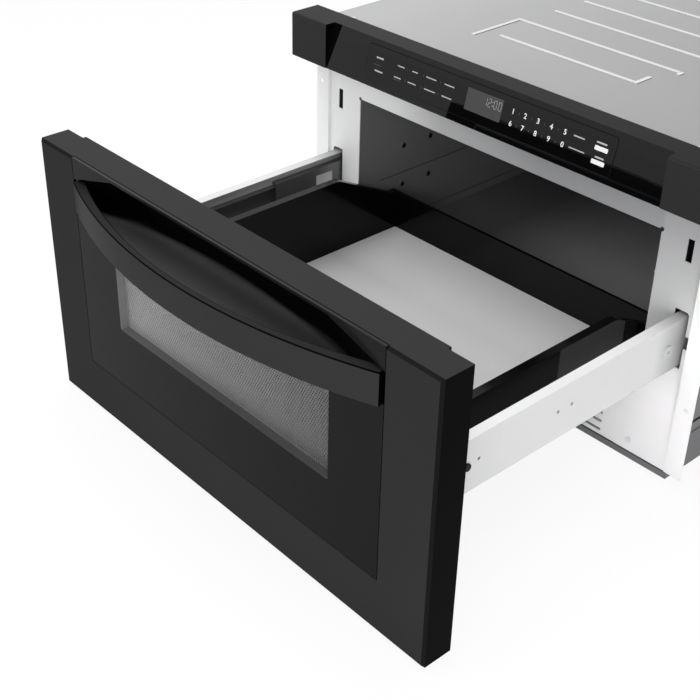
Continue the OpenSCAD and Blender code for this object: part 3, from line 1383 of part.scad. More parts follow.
module drawer_arms() color(white) in_drawer_from_base() both() difference() {
    union() {
        span([arm_inner, arm_half], [front_t, front_t + arm_l], [arm_z, arm_z + arm_h]);
        span([arm_half - arm_flange, arm_half], [front_t, front_t + arm_l], [arm_z + arm_h - sheet_t, arm_z + arm_h]);
        span([arm_half - arm_foot, arm_half], [front_t, front_t + sheet_t], [arm_z, arm_z + arm_h]);
        rod_x(arm_boss[0], arm_boss[1], arm_boss_r, arm_inner, arm_half + bumper_l);
    }
    for (y = arm_hole_ys) rod_x(y, arm_mark_z, screw_hole_r, arm_inner - cut, arm_half + cut);
    rod_x(arm_boss[0], arm_boss[1], screw_hole_r, arm_inner - cut, arm_half + bumper_l + cut);
    span([arm_inner - cut, arm_half + cut], arm_notch_y, [arm_z - cut, arm_z + arm_notch_h]);
    for (z = arm_screw_z) rod_y(arm_screw_x, z + front_lift, screw_hole_r, front_t - cut, front_t + 2 * cut);
}

module moving_rails() color(zinc) in_drawer_from_base() both() translate([2 * slide_x + slide_t, 0, 0]) mirror([1, 0, 0])
    rail(0, moving_lip, moving_outer_h, front_t + moving_rail_y, moving_rail_l);

module drive_rack() color(white) in_drawer_from_base() {
    span([rack_x0, arm_inner], [rack_y0, rack_y1], [rack_root_z, rack_line_z + rack_back_h]);
    sideways(rack_x0, rack_w) polygon(concat(
        [[rack_y0, rack_root_z + fit], [rack_y0, rack_root_z]],
        [for (k = [rack_k0 : rack_k1], c = [0 : 3]) [rack_mesh_y + k * tooth_pitch + rack_c[c], c == 0 || c == 3 ? rack_root_z : rack_tip_z]],
        [[rack_y1, rack_root_z], [rack_y1, rack_root_z + fit]]
    ));
}

module latch_hooks() color(zinc) in_drawer_from_base() both() difference() {
    union() {
        sideways(slot_x - hook_t / 2, hook_t) polygon([
            [front_t, slot_z - hook_h / 2], [front_t, slot_z + hook_h / 2], [front_t + hook_l - hook_barb, slot_z + hook_h / 2],
            [front_t + hook_l, slot_z + hook_tip / 2], [front_t + hook_l, slot_z - hook_h / 2],
            [front_t + hook_l - 2 * hook_barb, slot_z - hook_h / 2], [front_t + hook_l - 2 * hook_barb, slot_z - hook_tip / 2],
            [front_t + hook_tip, slot_z - hook_tip / 2], [front_t + hook_tip, slot_z - hook_h / 2]
        ]);
        span([slot_x - hook_t / 2, hook_screw_x + hook_tip], [front_t, front_t + sheet_t], [slot_z - hook_h / 2, slot_z + hook_h / 2]);
    }
    for (z = hook_screw_z) rod_y(hook_screw_x, z + front_lift, screw_hole_r, front_t - cut, front_t + 2 * cut);
}

module rear_facing_screw(x, y, z) {
    translate([x, y, z]) rotate([0, 0, 180]) screw_y(0, 0, 0);
}

module drawer_hardware() color(chrome) in_drawer_from_base() both() {
    for (z = arm_screw_z) rear_facing_screw(arm_screw_x, front_t + sheet_t, z + front_lift);
    for (z = hook_screw_z) rear_facing_screw(hook_screw_x, front_t + sheet_t, z + front_lift);
    for (z = tub_screw_z) rear_facing_screw(tub_screw_x, tub_front + tub_t, z + front_lift);
    rod_x(arm_hole_ys[0], slide_z, bumper_r, arm_half, arm_half + bumper_l);
}

base_pan();
front_frame();
outer_case();
rear_panel();
cabinet_flanges();
body_screws();
cavity_liner();
waveguide();
stirrer_motor();
stirrer();
stirrer_cover();
magnetron();
high_voltage_transformer();
high_voltage_capacitor();
capacitor_clamp();
high_voltage_diode();
noise_filter();
fan_shroud();
fan_motor();
fan_wheel();
air_guide();
cavity_lamp();
thermal_cutouts();
cord_gland();
control_bezel();
control_glass();
display();
control_board();
power_board();
drive_bracket();
drive_motor();
drive_gearbox();
drive_pinion();
slide_brackets();
fixed_rails();
left_middle_rail();
right_middle_rail();
left_outer_balls();
right_outer_balls();
left_inner_balls();
right_inner_balls();
switch_brackets();
door_switches();
left_switch_lever();
right_switch_lever();
drawer_frame();
door_panel();
grip();
grip_cup();
window_glass();
window_screen();
choke_frame();
choke_cover();
drawer_tub();
glass_tray();
drawer_arms();
moving_rails();
drive_rack();
latch_hooks();
drawer_hardware();
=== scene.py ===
"""Looks of the microwave drawer, in metres, in the frame of its solids.

x runs to the right as seen from the front, y to the back, and z up. The drawer stands open.
"""

import json
import math

import bmesh
import bpy
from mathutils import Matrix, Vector

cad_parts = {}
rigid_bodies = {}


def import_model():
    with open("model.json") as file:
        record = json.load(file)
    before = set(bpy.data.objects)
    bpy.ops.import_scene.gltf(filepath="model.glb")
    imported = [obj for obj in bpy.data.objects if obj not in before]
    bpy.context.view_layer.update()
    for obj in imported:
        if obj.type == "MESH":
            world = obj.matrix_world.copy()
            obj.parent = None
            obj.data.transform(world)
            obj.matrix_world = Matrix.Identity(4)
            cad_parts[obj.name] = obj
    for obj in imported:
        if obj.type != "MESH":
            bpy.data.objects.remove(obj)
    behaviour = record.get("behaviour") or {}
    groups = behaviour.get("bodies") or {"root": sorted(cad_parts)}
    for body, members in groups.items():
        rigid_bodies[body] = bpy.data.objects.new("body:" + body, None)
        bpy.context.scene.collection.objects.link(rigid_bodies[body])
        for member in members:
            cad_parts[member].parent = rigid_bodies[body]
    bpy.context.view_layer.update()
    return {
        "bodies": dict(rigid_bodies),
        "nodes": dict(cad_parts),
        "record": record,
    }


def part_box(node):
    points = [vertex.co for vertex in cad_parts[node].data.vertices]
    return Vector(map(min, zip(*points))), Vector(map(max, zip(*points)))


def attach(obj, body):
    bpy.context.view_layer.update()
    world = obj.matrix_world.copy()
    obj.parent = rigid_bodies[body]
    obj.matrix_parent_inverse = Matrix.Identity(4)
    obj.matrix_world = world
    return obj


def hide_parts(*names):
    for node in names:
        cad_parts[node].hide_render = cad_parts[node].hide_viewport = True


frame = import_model()
MM = 0.001
BODY, DRAWER = "cabinet", "drawer"


def deselect():
    """Leaves edit mode, with nothing selected."""
    if bpy.context.object and bpy.context.object.mode != "OBJECT":
        bpy.ops.object.mode_set(mode="OBJECT")
    bpy.ops.object.select_all(action="DESELECT")


def pick(obj):
    """Selects one object alone."""
    deselect()
    obj.select_set(True)
    bpy.context.view_layer.objects.active = obj


class Socket:
    """A shader value that Python's operators turn into Math nodes."""

    def __init__(self, finish, link):
        self.finish, self.link = finish, link

    def _math(self, operation, first, second=None, clamp=False):
        values = [first] if second is None else [first, second]
        return self.finish.node("ShaderNodeMath", {"operation": operation, "use_clamp": clamp}, values)

    def __add__(self, other):
        return self._math("ADD", self, other)

    def __radd__(self, other):
        return self._math("ADD", other, self)

    def __sub__(self, other):
        return self._math("SUBTRACT", self, other)

    def __rsub__(self, other):
        return self._math("SUBTRACT", other, self)

    def __mul__(self, other):
        return self._math("MULTIPLY", self, other)

    def __rmul__(self, other):
        return self._math("MULTIPLY", other, self)

    def __gt__(self, other):
        return self._math("GREATER_THAN", self, other)

    def __abs__(self):
        return self._math("ABSOLUTE", self)

    def sine(self):
        return self._math("SINE", self)

    def clamped(self):
        return self._math("ADD", self, 0.0, True)

    def most(self, other):
        return self._math("MAXIMUM", self, other)

    def between(self, low, high):
        """0 below low, 1 above high."""
        values = {"Value": self, "From Min": low, "From Max": high}
        return self.finish.node("ShaderNodeMapRange", {"clamp": True}, values, "Result")


class Finish:
    """One material, made of nodes."""

    def __init__(self, name, **fixed):
        self.material = bpy.data.materials.new(name)
        self.material.use_nodes = True
        self.tree = self.material.node_tree
        self.shader = next(n for n in self.tree.nodes if n.type == "BSDF_PRINCIPLED")
        self.position = None
        for key, value in fixed.items():
            self.set(key.replace("_", " ").title().replace("Ior", "IOR"), value)

    def set(self, socket, value):
        """Gives a socket of the shader a number, a colour or a link."""
        target = self.shader.inputs[socket]
        if isinstance(value, Socket):
            self.tree.links.new(value.link, target)
        elif isinstance(value, tuple) and len(value) == 3:
            target.default_value = (*value, 1.0)
        else:
            target.default_value = value

    def node(self, kind, settings=None, values=None, output=0):
        """Any node, from its type, its settings, and the values or links of its sockets."""
        made = self.tree.nodes.new(kind)
        for key, value in (settings or {}).items():
            setattr(made, key, value)
        pairs = values.items() if isinstance(values, dict) else enumerate(values or [])
        for key, value in pairs:
            target = made.inputs[key]
            if isinstance(value, Socket):
                self.tree.links.new(value.link, target)
            elif isinstance(value, tuple) and len(value) == 3 and target.type == "RGBA":
                target.default_value = (*value, 1.0)
            else:
                target.default_value = value
        return Socket(self, made.outputs[output])

    def place(self):
        """The place on the piece, asked for once."""
        if self.position is None:
            self.position = self.node("ShaderNodeTexCoord", None, None, "Object")
        return self.position

    def axes(self):
        """The place, as its x, y and z."""
        split = self.node("ShaderNodeSeparateXYZ", None, [self.place()])
        return [Socket(self, out) for out in split.link.node.outputs]

    def stretched(self, scale):
        """The place, scaled along each axis."""
        return self.node("ShaderNodeMapping", None, {"Vector": self.place(), "Scale": scale})

    def noise(self, scale, detail=3.0, vector=None):
        values = {"Vector": vector or self.place(), "Scale": scale, "Detail": detail, "Roughness": 0.5}
        return self.node("ShaderNodeTexNoise", None, values)

    def blend(self, factor, first, second):
        """Two colours, mixed by a factor."""
        return self.node("ShaderNodeMix", {"data_type": "RGBA"}, {0: factor, 6: first, 7: second}, 2)

    def bump(self, height, strength, distance):
        """Shades the surface as if a height raised it."""
        values = {"Strength": strength, "Distance": distance, "Height": height}
        self.set("Normal", self.node("ShaderNodeBump", None, values))

    def peel(self, grain=900.0, depth=0.02, rise=0.0002):
        """A fine grain in the surface, such as the orange peel of enamel."""
        self.bump(self.noise(grain, 2.0), depth, rise)

    def gloss(self, cloud, smooth, rough):
        """Roughness that drifts with a cloud."""
        self.set("Roughness", smooth + cloud * (rough - smooth))

    def clouded(self, shade, colour, spread):
        """The colour, a little darker and lighter with the shade."""
        darker = tuple(c * (1 - spread) for c in colour)
        lighter = tuple(min(1.0, c * (1 + spread)) for c in colour)
        self.set("Base Color", self.blend(shade, darker, lighter))

    def wear(self, colour, spread, scale, gloss):
        """Clouds the colour a little, and the gloss with it."""
        cloud = self.noise(scale, 4.0)
        self.clouded(cloud.between(0.3, 0.7), colour, spread)
        self.gloss(cloud, *gloss)


def enamel(name, colour, gloss, specular=0.5, grain=900.0, peel=0.02):
    """Baked enamel with a faint orange peel."""
    finish = Finish(name, specular_ior_level=specular)
    finish.wear(colour, 0.04, 5.0, gloss)
    finish.peel(grain, peel)
    return finish.material


def toned(name, tones, along, gloss, specular, grain=900.0, peel=0.02, metallic=0.0, shaded_end=None):
    """Enamel in three tones along one axis, from low to high, as painted light and shade, and a last,
    painted shade where it stops.
    """
    axis, low, high = along
    finish = Finish(name, specular_ior_level=specular, metallic=metallic)
    way = finish.axes()[axis]
    middle = (low + high) / 2
    first, second, third = [(tone, tone, tone * 1.01) for tone in tones]
    tone = finish.blend(way.between(low, middle), first, second)
    tone = finish.blend(way.between(middle, high), tone, third)
    # A last, darker tone where the axis runs out: painted shade.
    if shaded_end is not None:
        start, stop, last = shaded_end
        tone = finish.blend(way.between(start, stop), tone, (last, last, last * 1.01))
    cloud = finish.noise(5.0, 4.0)
    finish.set("Base Color", finish.blend(cloud.between(0.3, 0.7) * 0.06, tone, (0.0, 0.0, 0.0)))
    finish.gloss(cloud, *gloss)
    finish.peel(grain, peel)
    return finish.material


def panel_enamel(name):
    """The glossy panel, with painted light and shade: lightest at the top left, darkest at the bottom
    right.
    """
    finish = Finish(name, specular_ior_level=0.04)
    x, _, z = finish.axes()
    shade = (z * 2.1 - x * 0.86 + 0.32).clamped()
    finish.set("Base Color", finish.blend(shade, (0.0008, 0.0008, 0.0008), (0.0128, 0.0128, 0.013)))
    finish.gloss(finish.noise(5.0, 4.0), 0.12, 0.16)
    finish.peel(700.0, 0.01)
    return finish.material


def frame_enamel(name):
    """White enamel, with painted shade: greyer at the top right and on the strip above the cavity,
    under the control head.
    """
    finish = Finish(name, specular_ior_level=0.25)
    x, _, z = finish.axes()
    cloud = finish.noise(5.0, 4.0)
    white = finish.blend(cloud.between(0.3, 0.7), (0.91, 0.912, 0.918), (0.94, 0.942, 0.946))
    shaded_posts = finish.blend(x.between(0.0, 0.1) * z.between(0.1, 0.29), white, (0.46, 0.462, 0.47))
    bright, grey, dim = (0.94, 0.942, 0.946), (0.6, 0.602, 0.61), (0.39, 0.392, 0.4)
    strip = finish.blend(x.between(-0.16, -0.085), bright, grey)
    strip = finish.blend(x.between(-0.085, 0.064), strip, dim)
    cavity_top, cavity_half = 0.285, 0.224
    above = z.between(cavity_top - 0.0002, cavity_top + 0.0002)
    beside = abs(x).between(cavity_half - 0.002, cavity_half + 0.002)
    finish.set("Base Color", finish.blend(above * (1.0 - beside), shaded_posts, strip))
    finish.gloss(cloud, 0.35, 0.45)
    finish.peel()
    return finish.material


def tub_enamel(name):
    """The outer side of the tub, lighter over a band towards its back."""
    finish = Finish(name, specular_ior_level=0.02)
    y = finish.axes()[1]
    plate = y.between(-0.4045, -0.4035) * (1.0 - y.between(-0.301, -0.3))
    finish.set("Base Color", finish.blend(plate, (0.0012, 0.0012, 0.0012), (0.055, 0.055, 0.0555)))
    finish.gloss(finish.noise(5.0, 4.0), 0.2, 0.25)
    finish.peel(700.0, 0.01)
    return finish.material


def control_gloss(name, specular):
    """Polished black, shaded as if it leaned forward, so that it mirrors the drawer below it."""
    finish = Finish(name, specular_ior_level=specular)
    z = finish.axes()[2]
    cloud = finish.noise(5.0, 4.0)
    finish.set("Base Color", finish.blend(cloud, (0.002, 0.002, 0.0021), (0.0026, 0.0026, 0.0027)))
    finish.gloss(cloud, 0.01, 0.02)
    lean = z * 0.029
    finish.bump(lean, 1.0, 1.0)
    return finish.material


def pocket_enamel(name, face, floor):
    """The lining of the finger pocket, with a painted shadow where it turns up to the back."""
    finish = Finish(name, specular_ior_level=0.06)
    x, y, z = finish.axes()
    # Millimetres behind the panel, where height and distance from the middle count too.
    depth = (y - face) * 1000.0 + (z - floor) * 1350.0 + x * x * 740.0
    # The lit part, darker to the right, then black past that depth: painted light and shadow.
    lit = finish.blend(x.between(-0.22, 0.22), (0.066, 0.066, 0.067), (0.05, 0.05, 0.051))
    finish.set("Base Color", finish.blend(depth.between(40.0, 47.0), lit, (0.001, 0.001, 0.001)))
    finish.gloss(finish.noise(5.0, 4.0), 0.25, 0.32)
    finish.peel()
    return finish.material


def sheet_steel(name, colour, gloss, metallic=0.9, spangle=0.06):
    """Galvanised or zinc-plated steel with a cloudy spangle."""
    finish = Finish(name, metallic=metallic)
    values = {"Vector": finish.place(), "Scale": 60.0}
    crystals = finish.node("ShaderNodeTexVoronoi", None, values, "Distance")
    cloud = finish.noise(9.0, 5.0)
    finish.clouded((crystals * 0.5 + cloud * 0.5).between(0.15, 0.65), colour, spangle)
    finish.gloss(cloud, *gloss)
    finish.peel(1400.0, 0.03, 0.0001)
    return finish.material


def brushed(name, colour, gloss, along, metallic=1.0):
    """Metal drawn or rolled along one axis."""
    finish = Finish(name, metallic=metallic)
    scale = [400.0, 400.0, 400.0]
    scale[along] = 6.0
    lines = finish.noise(1.0, 3.0, finish.stretched(tuple(scale)))
    darker = tuple(c * 0.93 for c in colour)
    finish.set("Base Color", finish.blend(lines.between(0.3, 0.7), darker, colour))
    finish.gloss(lines, *gloss)
    finish.bump(lines, 0.06, 0.0001)
    return finish.material


def moulded(name, colour, gloss, specular=0.5):
    """Moulded plastic with a fine texture."""
    finish = Finish(name, specular_ior_level=specular)
    finish.wear(colour, 0.06, 8.0, gloss)
    finish.peel(1500.0, 0.08)
    return finish.material


def board(name):
    """Green solder mask with copper tracks below it."""
    finish = Finish(name, roughness=0.35)
    x, y, _ = finish.axes()
    across = (x * 420.0 + finish.noise(30.0, 2.0) * 3.0).sine() > 0.82
    along = (y * 420.0 + finish.noise(30.0, 2.0) * 3.0).sine() > 0.86
    tracks = across.most(along)
    finish.set("Base Color", finish.blend(tracks * 0.6, (0.012, 0.09, 0.035), (0.05, 0.2, 0.08)))
    finish.bump(tracks, 0.1, 0.0002)
    return finish.material


def tray_enamel(name):
    """The tray's polished glass, with painted reflection: lighter to the right and towards its back.
    """
    finish = Finish(name, specular_ior_level=0.5)
    x, y, _ = finish.axes()
    cloud = finish.noise(2.2, 2.0)
    near = finish.blend(cloud.between(0.2, 0.8), (0.4, 0.4, 0.4), (0.42, 0.42, 0.42))
    middle = finish.blend(x.between(-0.2, -0.05), (0.42, 0.42, 0.42), (0.56, 0.56, 0.56))
    front = finish.blend(y.between(-0.46, -0.33), near, middle)
    finish.set("Base Color", finish.blend(y.between(-0.33, -0.22), front, (0.96, 0.96, 0.96)))
    finish.gloss(cloud, 0.03, 0.05)
    finish.peel(300.0, 0.001)
    return finish.material


def pane_glass(name):
    """The clear pane of the window, with a faint film on it."""
    finish = Finish(name, base_color=(0.5, 0.5, 0.5), specular_ior_level=0.1, alpha=0.02)
    finish.gloss(finish.noise(3.0, 3.0), 0.03, 0.08)
    finish.bump(finish.noise(12.0, 1.0), 0.01, 0.0002)
    return finish.material


# Each finish: its maker, and what that takes after the name.
RECIPES = {
    "graphite_enamel": (enamel, (0.004, 0.004, 0.0041), (0.25, 0.32), 0.25),
    "black_enamel": (enamel, (0.002, 0.002, 0.002), (0.08, 0.13), 0.14, 500.0, 0.01),
    "black_plastic": (moulded, (0.008, 0.008, 0.008), (0.45, 0.6), 0.15),
    "white_enamel": (enamel, (0.83, 0.832, 0.84), (0.35, 0.45), 0.25),
    "grey_enamel": (enamel, (0.045, 0.047, 0.049), (0.28, 0.36), 0.25),
    "dark_steel": (sheet_steel, (0.012, 0.012, 0.0125), (0.5, 0.6), 0.1),
    "zinc_steel": (sheet_steel, (0.5, 0.51, 0.52), (0.38, 0.5), 0.55),
    "aluminium": (brushed, (0.75, 0.76, 0.77), (0.25, 0.4), 0),
    "laminated_iron": (brushed, (0.16, 0.15, 0.15), (0.45, 0.6), 0, 0.6),
    "white_plastic": (moulded, (0.75, 0.75, 0.73), (0.4, 0.55)),
    "circuit_board": (board,),
    "epoxy": (moulded, (0.01, 0.01, 0.01), (0.2, 0.3)),
    "brass": (brushed, (0.72, 0.5, 0.2), (0.25, 0.4), 0),
    "black_glass": (control_gloss, 0.25),
    "clear_glass": (enamel, (0.6, 0.62, 0.62), (0.05, 0.08), 0.5),
    # The drawer front's enamel in copies, as painted light and shade: its face toned across, its top
    # lighter, its sides and chamfers darker.
    "front_face": (toned, (0.0165, 0.0255, 0.0235), (0, -0.28, 0.28), (0.36, 0.44), 0.02),
    "front_top": (enamel, (0.025, 0.025, 0.0253), (0.36, 0.44), 0.03),
    "front_side": (enamel, (0.002, 0.002, 0.002), (0.36, 0.44), 0.01),
    "front_edge": (enamel, (0.008, 0.008, 0.008), (0.36, 0.44), 0.02),
    # The bar's enamel in copies, as painted light and shade: its face toned across, its top lighter,
    # its edges black.
    "bar_face": (toned, (0.0138, 0.028, 0.031), (0, -0.22, 0.22), (0.36, 0.44), 0.02),
    "bar_top": (enamel, (0.019, 0.019, 0.0191), (0.36, 0.44), 0.02),
    "bar_edge": (enamel, (0.001, 0.001, 0.001), (0.36, 0.44), 0.01),
    "glass_rim": (enamel, (0.008, 0.008, 0.0081), (0.36, 0.44), 0.01),
    "block_face": (enamel, (0.029, 0.029, 0.0293), (0.36, 0.44), 0.02),
    # The control head's tops, lighter and toned across: painted light.
    "bezel_top": (toned, (0.02, 0.016, 0.011), (0, -0.1, 0.25), (0.36, 0.44), 0.03),
    "bezel_gloss": (control_gloss, 0.26),
    "panel_gloss": (panel_enamel,),
    "pocket_gloss": (enamel, (0.002, 0.002, 0.0021), (0.07, 0.11), 0.25, 700.0, 0.01),
    # Up-facing floors in the finger pocket, lighter than its walls: painted light.
    "pocket_floor": (enamel, (0.06, 0.06, 0.06), (0.25, 0.32), 0.1),
    # The window's collar, toned across, with side walls lighter than its sill: painted light and
    # shade.
    "collar_steel": (toned, (0.145, 0.13, 0.1), (0, -0.18, 0.18), (0.35, 0.45), 0.3),
    "collar_side": (enamel, (0.195, 0.195, 0.195), (0.35, 0.45), 0.3),
    "pane_glass": (pane_glass,),
    # The screen, toned darker to the right: painted shade.
    "screen_steel": (toned, (0.31, 0.19, 0.1), (0, -0.19, 0.15), (0.35, 0.45), 0.3),
    "frame_enamel": (frame_enamel,),
    "flange_enamel": (enamel, (0.94, 0.942, 0.95), (0.35, 0.45), 0.25),
    # White enamel blades, greyed as painted shade behind the slots.
    "blade_enamel": (enamel, (0.3, 0.302, 0.31), (0.35, 0.45), 0.2),
    # The arms: tops and right sides toned apart as painted light, darker towards the frame's opening
    # as painted shade.
    "arm_enamel": (
        toned, (0.71, 0.65, 0.65), (1, -0.62, -0.28), (0.35, 0.45), 0.2,
        900.0, 0.02, 0.0, (-0.315, -0.27, 0.36),
    ),
    "arm_side": (
        toned, (0.67, 0.71, 0.71), (1, -0.62, -0.28), (0.35, 0.45), 0.2,
        900.0, 0.02, 0.0, (-0.315, -0.27, 0.33),
    ),
    "tub_side": (tub_enamel,),
    "tray_glass": (tray_enamel,),
    "cage_steel": (sheet_steel, (0.8, 0.8, 0.8), (0.4, 0.5), 0.1),
    "slide_steel": (brushed, (0.19, 0.192, 0.198), (0.3, 0.42), 1, 0.6),
    # The case in copies: its top toned across, its sides darker as painted shade, its ridges lighter
    # as a painted highlight.
    "case_steel": (
        toned, (0.36, 0.285, 0.24), (0, -0.25, 0.27), (0.45, 0.55), 0.5, 1400.0, 0.03, 0.2,
    ),
    "case_side": (sheet_steel, (0.165, 0.165, 0.165), (0.45, 0.55), 0.2, 0.02),
    "case_ridge": (sheet_steel, (0.55, 0.55, 0.55), (0.4, 0.5), 0.2, 0.02),
    "pan_steel": (sheet_steel, (0.135, 0.135, 0.138), (0.4, 0.5), 0.3, 0.03),
    # The liner: toned across and along as painted light, its floor lighter, its pads' edges darker as
    # painted shade.
    "liner_enamel": (toned, (0.175, 0.185, 0.38), (0, -0.22, 0.22), (0.2, 0.28), 0.4),
    "liner_floor": (toned, (0.17, 0.42, 0.62), (0, -0.13, 0.09), (0.2, 0.28), 0.4),
    "liner_shade": (enamel, (0.1, 0.103, 0.106), (0.25, 0.33), 0.3),
    "print_white": (enamel, (0.8, 0.8, 0.8), (0.5, 0.6), 0.2),
    "print_soft": (enamel, (0.42, 0.42, 0.42), (0.5, 0.6), 0.2),
    "print_grey": (enamel, (0.09, 0.09, 0.09), (0.5, 0.6), 0.2),
    "segment_grey": (enamel, (0.36, 0.36, 0.36), (0.5, 0.6), 0.2),
    "display_glass": (enamel, (0.05, 0.05, 0.05), (0.1, 0.15), 0.2),
    # Black for the bumpers, the panel's dark seam, and painted shade in the recesses of the screws.
    "rubber": (moulded, (0.006, 0.006, 0.006), (0.5, 0.65), 0.15),
}
FINISHES = {name: make(name, *values) for name, (make, *values) in RECIPES.items()}

# The solids that stay as they are, and whose finish isn't the plain one of their slot.
OWN_FINISH = {
    # The switch brackets take dark steel as painted shade in the slot they stand in.
    "switch_brackets": "dark_steel",
    "left_inner_balls": "cage_steel",
    "window_glass": "pane_glass",
}
SLOTS = {s["node"]: s["material_slot"] for s in frame["record"]["subparts"]}
for name, node in frame["nodes"].items():
    node.data.materials.clear()
    node.data.materials.append(FINISHES[OWN_FINISH.get(name, SLOTS[name])])


def body_of(node):
    """The name of the body that a node hangs on."""
    parent = frame["nodes"][node].parent
    return next(name for name, body in frame["bodies"].items() if body == parent)


def paint(obj, finish, wanted):
    """Gives the faces that wanted(centre, normal) picks another finish."""
    obj.data.materials.append(FINISHES[finish])
    place = len(obj.data.materials) - 1
    for face in obj.data.polygons:
        if wanted(face.center, face.normal):
            face.material_index = place


def finish_piece(obj, name, body, nodes=(), angle=35):
    """Names a piece, smooths it, hangs it on its body and hides what it stands for."""
    obj.name = name
    pick(obj)
    bpy.ops.object.transform_apply(location=True, rotation=True, scale=True)
    bpy.ops.object.shade_smooth_by_angle(angle=math.radians(angle))
    flats = obj.modifiers.new("flat_faces_stay_flat", "WEIGHTED_NORMAL")
    flats.weight = 100
    flats.keep_sharp = True
    bpy.ops.object.modifier_apply(modifier="flat_faces_stay_flat")
    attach(obj, body)
    if nodes:
        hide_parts(*nodes)
    deselect()
    return obj


def softened(node, width, finish=None, steps=2):
    """The node's own sheet or moulding, with its sharp edges rounded by a width in millimetres."""
    obj = bpy.data.objects.new(node + "_soft", frame["nodes"][node].data.copy())
    bpy.context.collection.objects.link(obj)
    pick(obj)
    bpy.ops.mesh.customdata_custom_splitnormals_clear()
    bpy.ops.object.mode_set(mode="EDIT")
    bpy.ops.mesh.select_all(action="SELECT")
    bpy.ops.mesh.remove_doubles(threshold=0.008 * MM)
    bpy.ops.mesh.dissolve_limited(angle_limit=math.radians(0.4))
    bpy.ops.object.mode_set(mode="OBJECT")
    round_edges = obj.modifiers.new("round_edges", "BEVEL")
    round_edges.width = width * MM
    round_edges.segments = steps
    round_edges.limit_method = "ANGLE"
    round_edges.angle_limit = math.radians(30)
    round_edges.use_clamp_overlap = True
    bpy.ops.object.modifier_apply(modifier="round_edges")
    obj.data.materials.clear()
    obj.data.materials.append(FINISHES[finish or SLOTS[node]])
    for face in obj.data.polygons:
        face.material_index = 0
    return finish_piece(obj, node + "_soft", body_of(node), (node,))


def joined(parts, name, body):
    """Several pieces, made one."""
    deselect()
    for part in parts:
        part.select_set(True)
    bpy.context.view_layer.objects.active = parts[0]
    bpy.ops.object.transform_apply(location=True, rotation=True, scale=True)
    bpy.ops.object.join()
    return finish_piece(bpy.context.object, name, body)


def walled(obj, thickness, offset):
    """Gives a sheet its wall."""
    wall = obj.modifiers.new("wall", "SOLIDIFY")
    wall.thickness = thickness
    wall.offset = offset
    bpy.ops.object.modifier_apply(modifier="wall")


def drawer_front():
    """The shell, the panel with the window's collar, the bar, and the cup behind it."""
    shell = softened("drawer_frame", 0.5)
    low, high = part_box("drawer_frame")
    side = high.x - 2 * MM
    # Chamfers darker, top lighter and sides darker than the face: painted light and shade.
    paint(shell, "front_edge", lambda c, n: True)
    paint(shell, "front_face", lambda c, n: n.y < -0.9)
    paint(shell, "front_top", lambda c, n: n.z > 0.9)
    paint(shell, "front_side", lambda c, n: abs(n.x) > 0.9 and abs(c.x) > side)

    panel = softened("door_panel", 0.3, "panel_gloss")
    panel_low, panel_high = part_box("door_panel")
    seam, rim, dark_rim = 0.5 * MM, 0.7 * MM, 1.2 * MM
    for vertex in panel.data.vertices:
        if abs(vertex.co.x) > panel_high.x - rim:
            vertex.co.x -= math.copysign(seam, vertex.co.x)
        if vertex.co.z < panel_low.z + rim:
            vertex.co.z += seam

    def on_rim(c):
        return abs(c.x) > panel_high.x - dark_rim or c.z < panel_low.z + dark_rim

    window_low, window_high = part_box("window_glass")
    near, above = 1.5 * MM, 3.5 * MM

    def in_window(c):
        beside = window_low.x - near < c.x < window_high.x + near
        return beside and window_low.z - above < c.z < window_high.z + above

    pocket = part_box("grip_cup")[0].z + 1.5 * MM
    behind = low.y + 0.6 * MM
    paint(panel, "rubber", lambda c, n: n.y > -0.9 and on_rim(c))
    # The collar's side walls lighter than its sill: painted light.
    paint(panel, "collar_steel", lambda c, n: abs(n.y) < 0.5 and in_window(c))
    paint(panel, "collar_side", lambda c, n: abs(n.x) > 0.7 and in_window(c))
    paint(panel, "pocket_gloss", lambda c, n: c.z > pocket and c.y > behind)

    # A painted highlight along the top inner edge of the lower rail.
    foot, chamfer = 80 * MM, low.y + MM
    paint(shell, "front_top", lambda c, n: c.y < chamfer and 0.3 < n.z < 0.9 and c.z < foot)

    bar = softened("grip", 1.6, "bar_face")
    bar_low, bar_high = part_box("grip")
    top, floor = bar_high.z - 0.2 * MM, bar_low.z + 6 * MM
    # Edges black, top lighter and up-facing floor lighter: painted shade and light.
    paint(bar, "bar_edge", lambda c, n: n.y > -0.5 or n.z > 0.3)
    paint(bar, "bar_top", lambda c, n: n.z > 0.95 and c.z > top)
    paint(bar, "pocket_floor", lambda c, n: n.z > 0.7 and c.z < floor)
    cup = softened("grip_cup", 0.5, "pocket_gloss")
    # The cup's floor lighter than its walls: painted light.
    paint(cup, "pocket_floor", lambda c, n: n.z > 0.7 and c.z < floor)


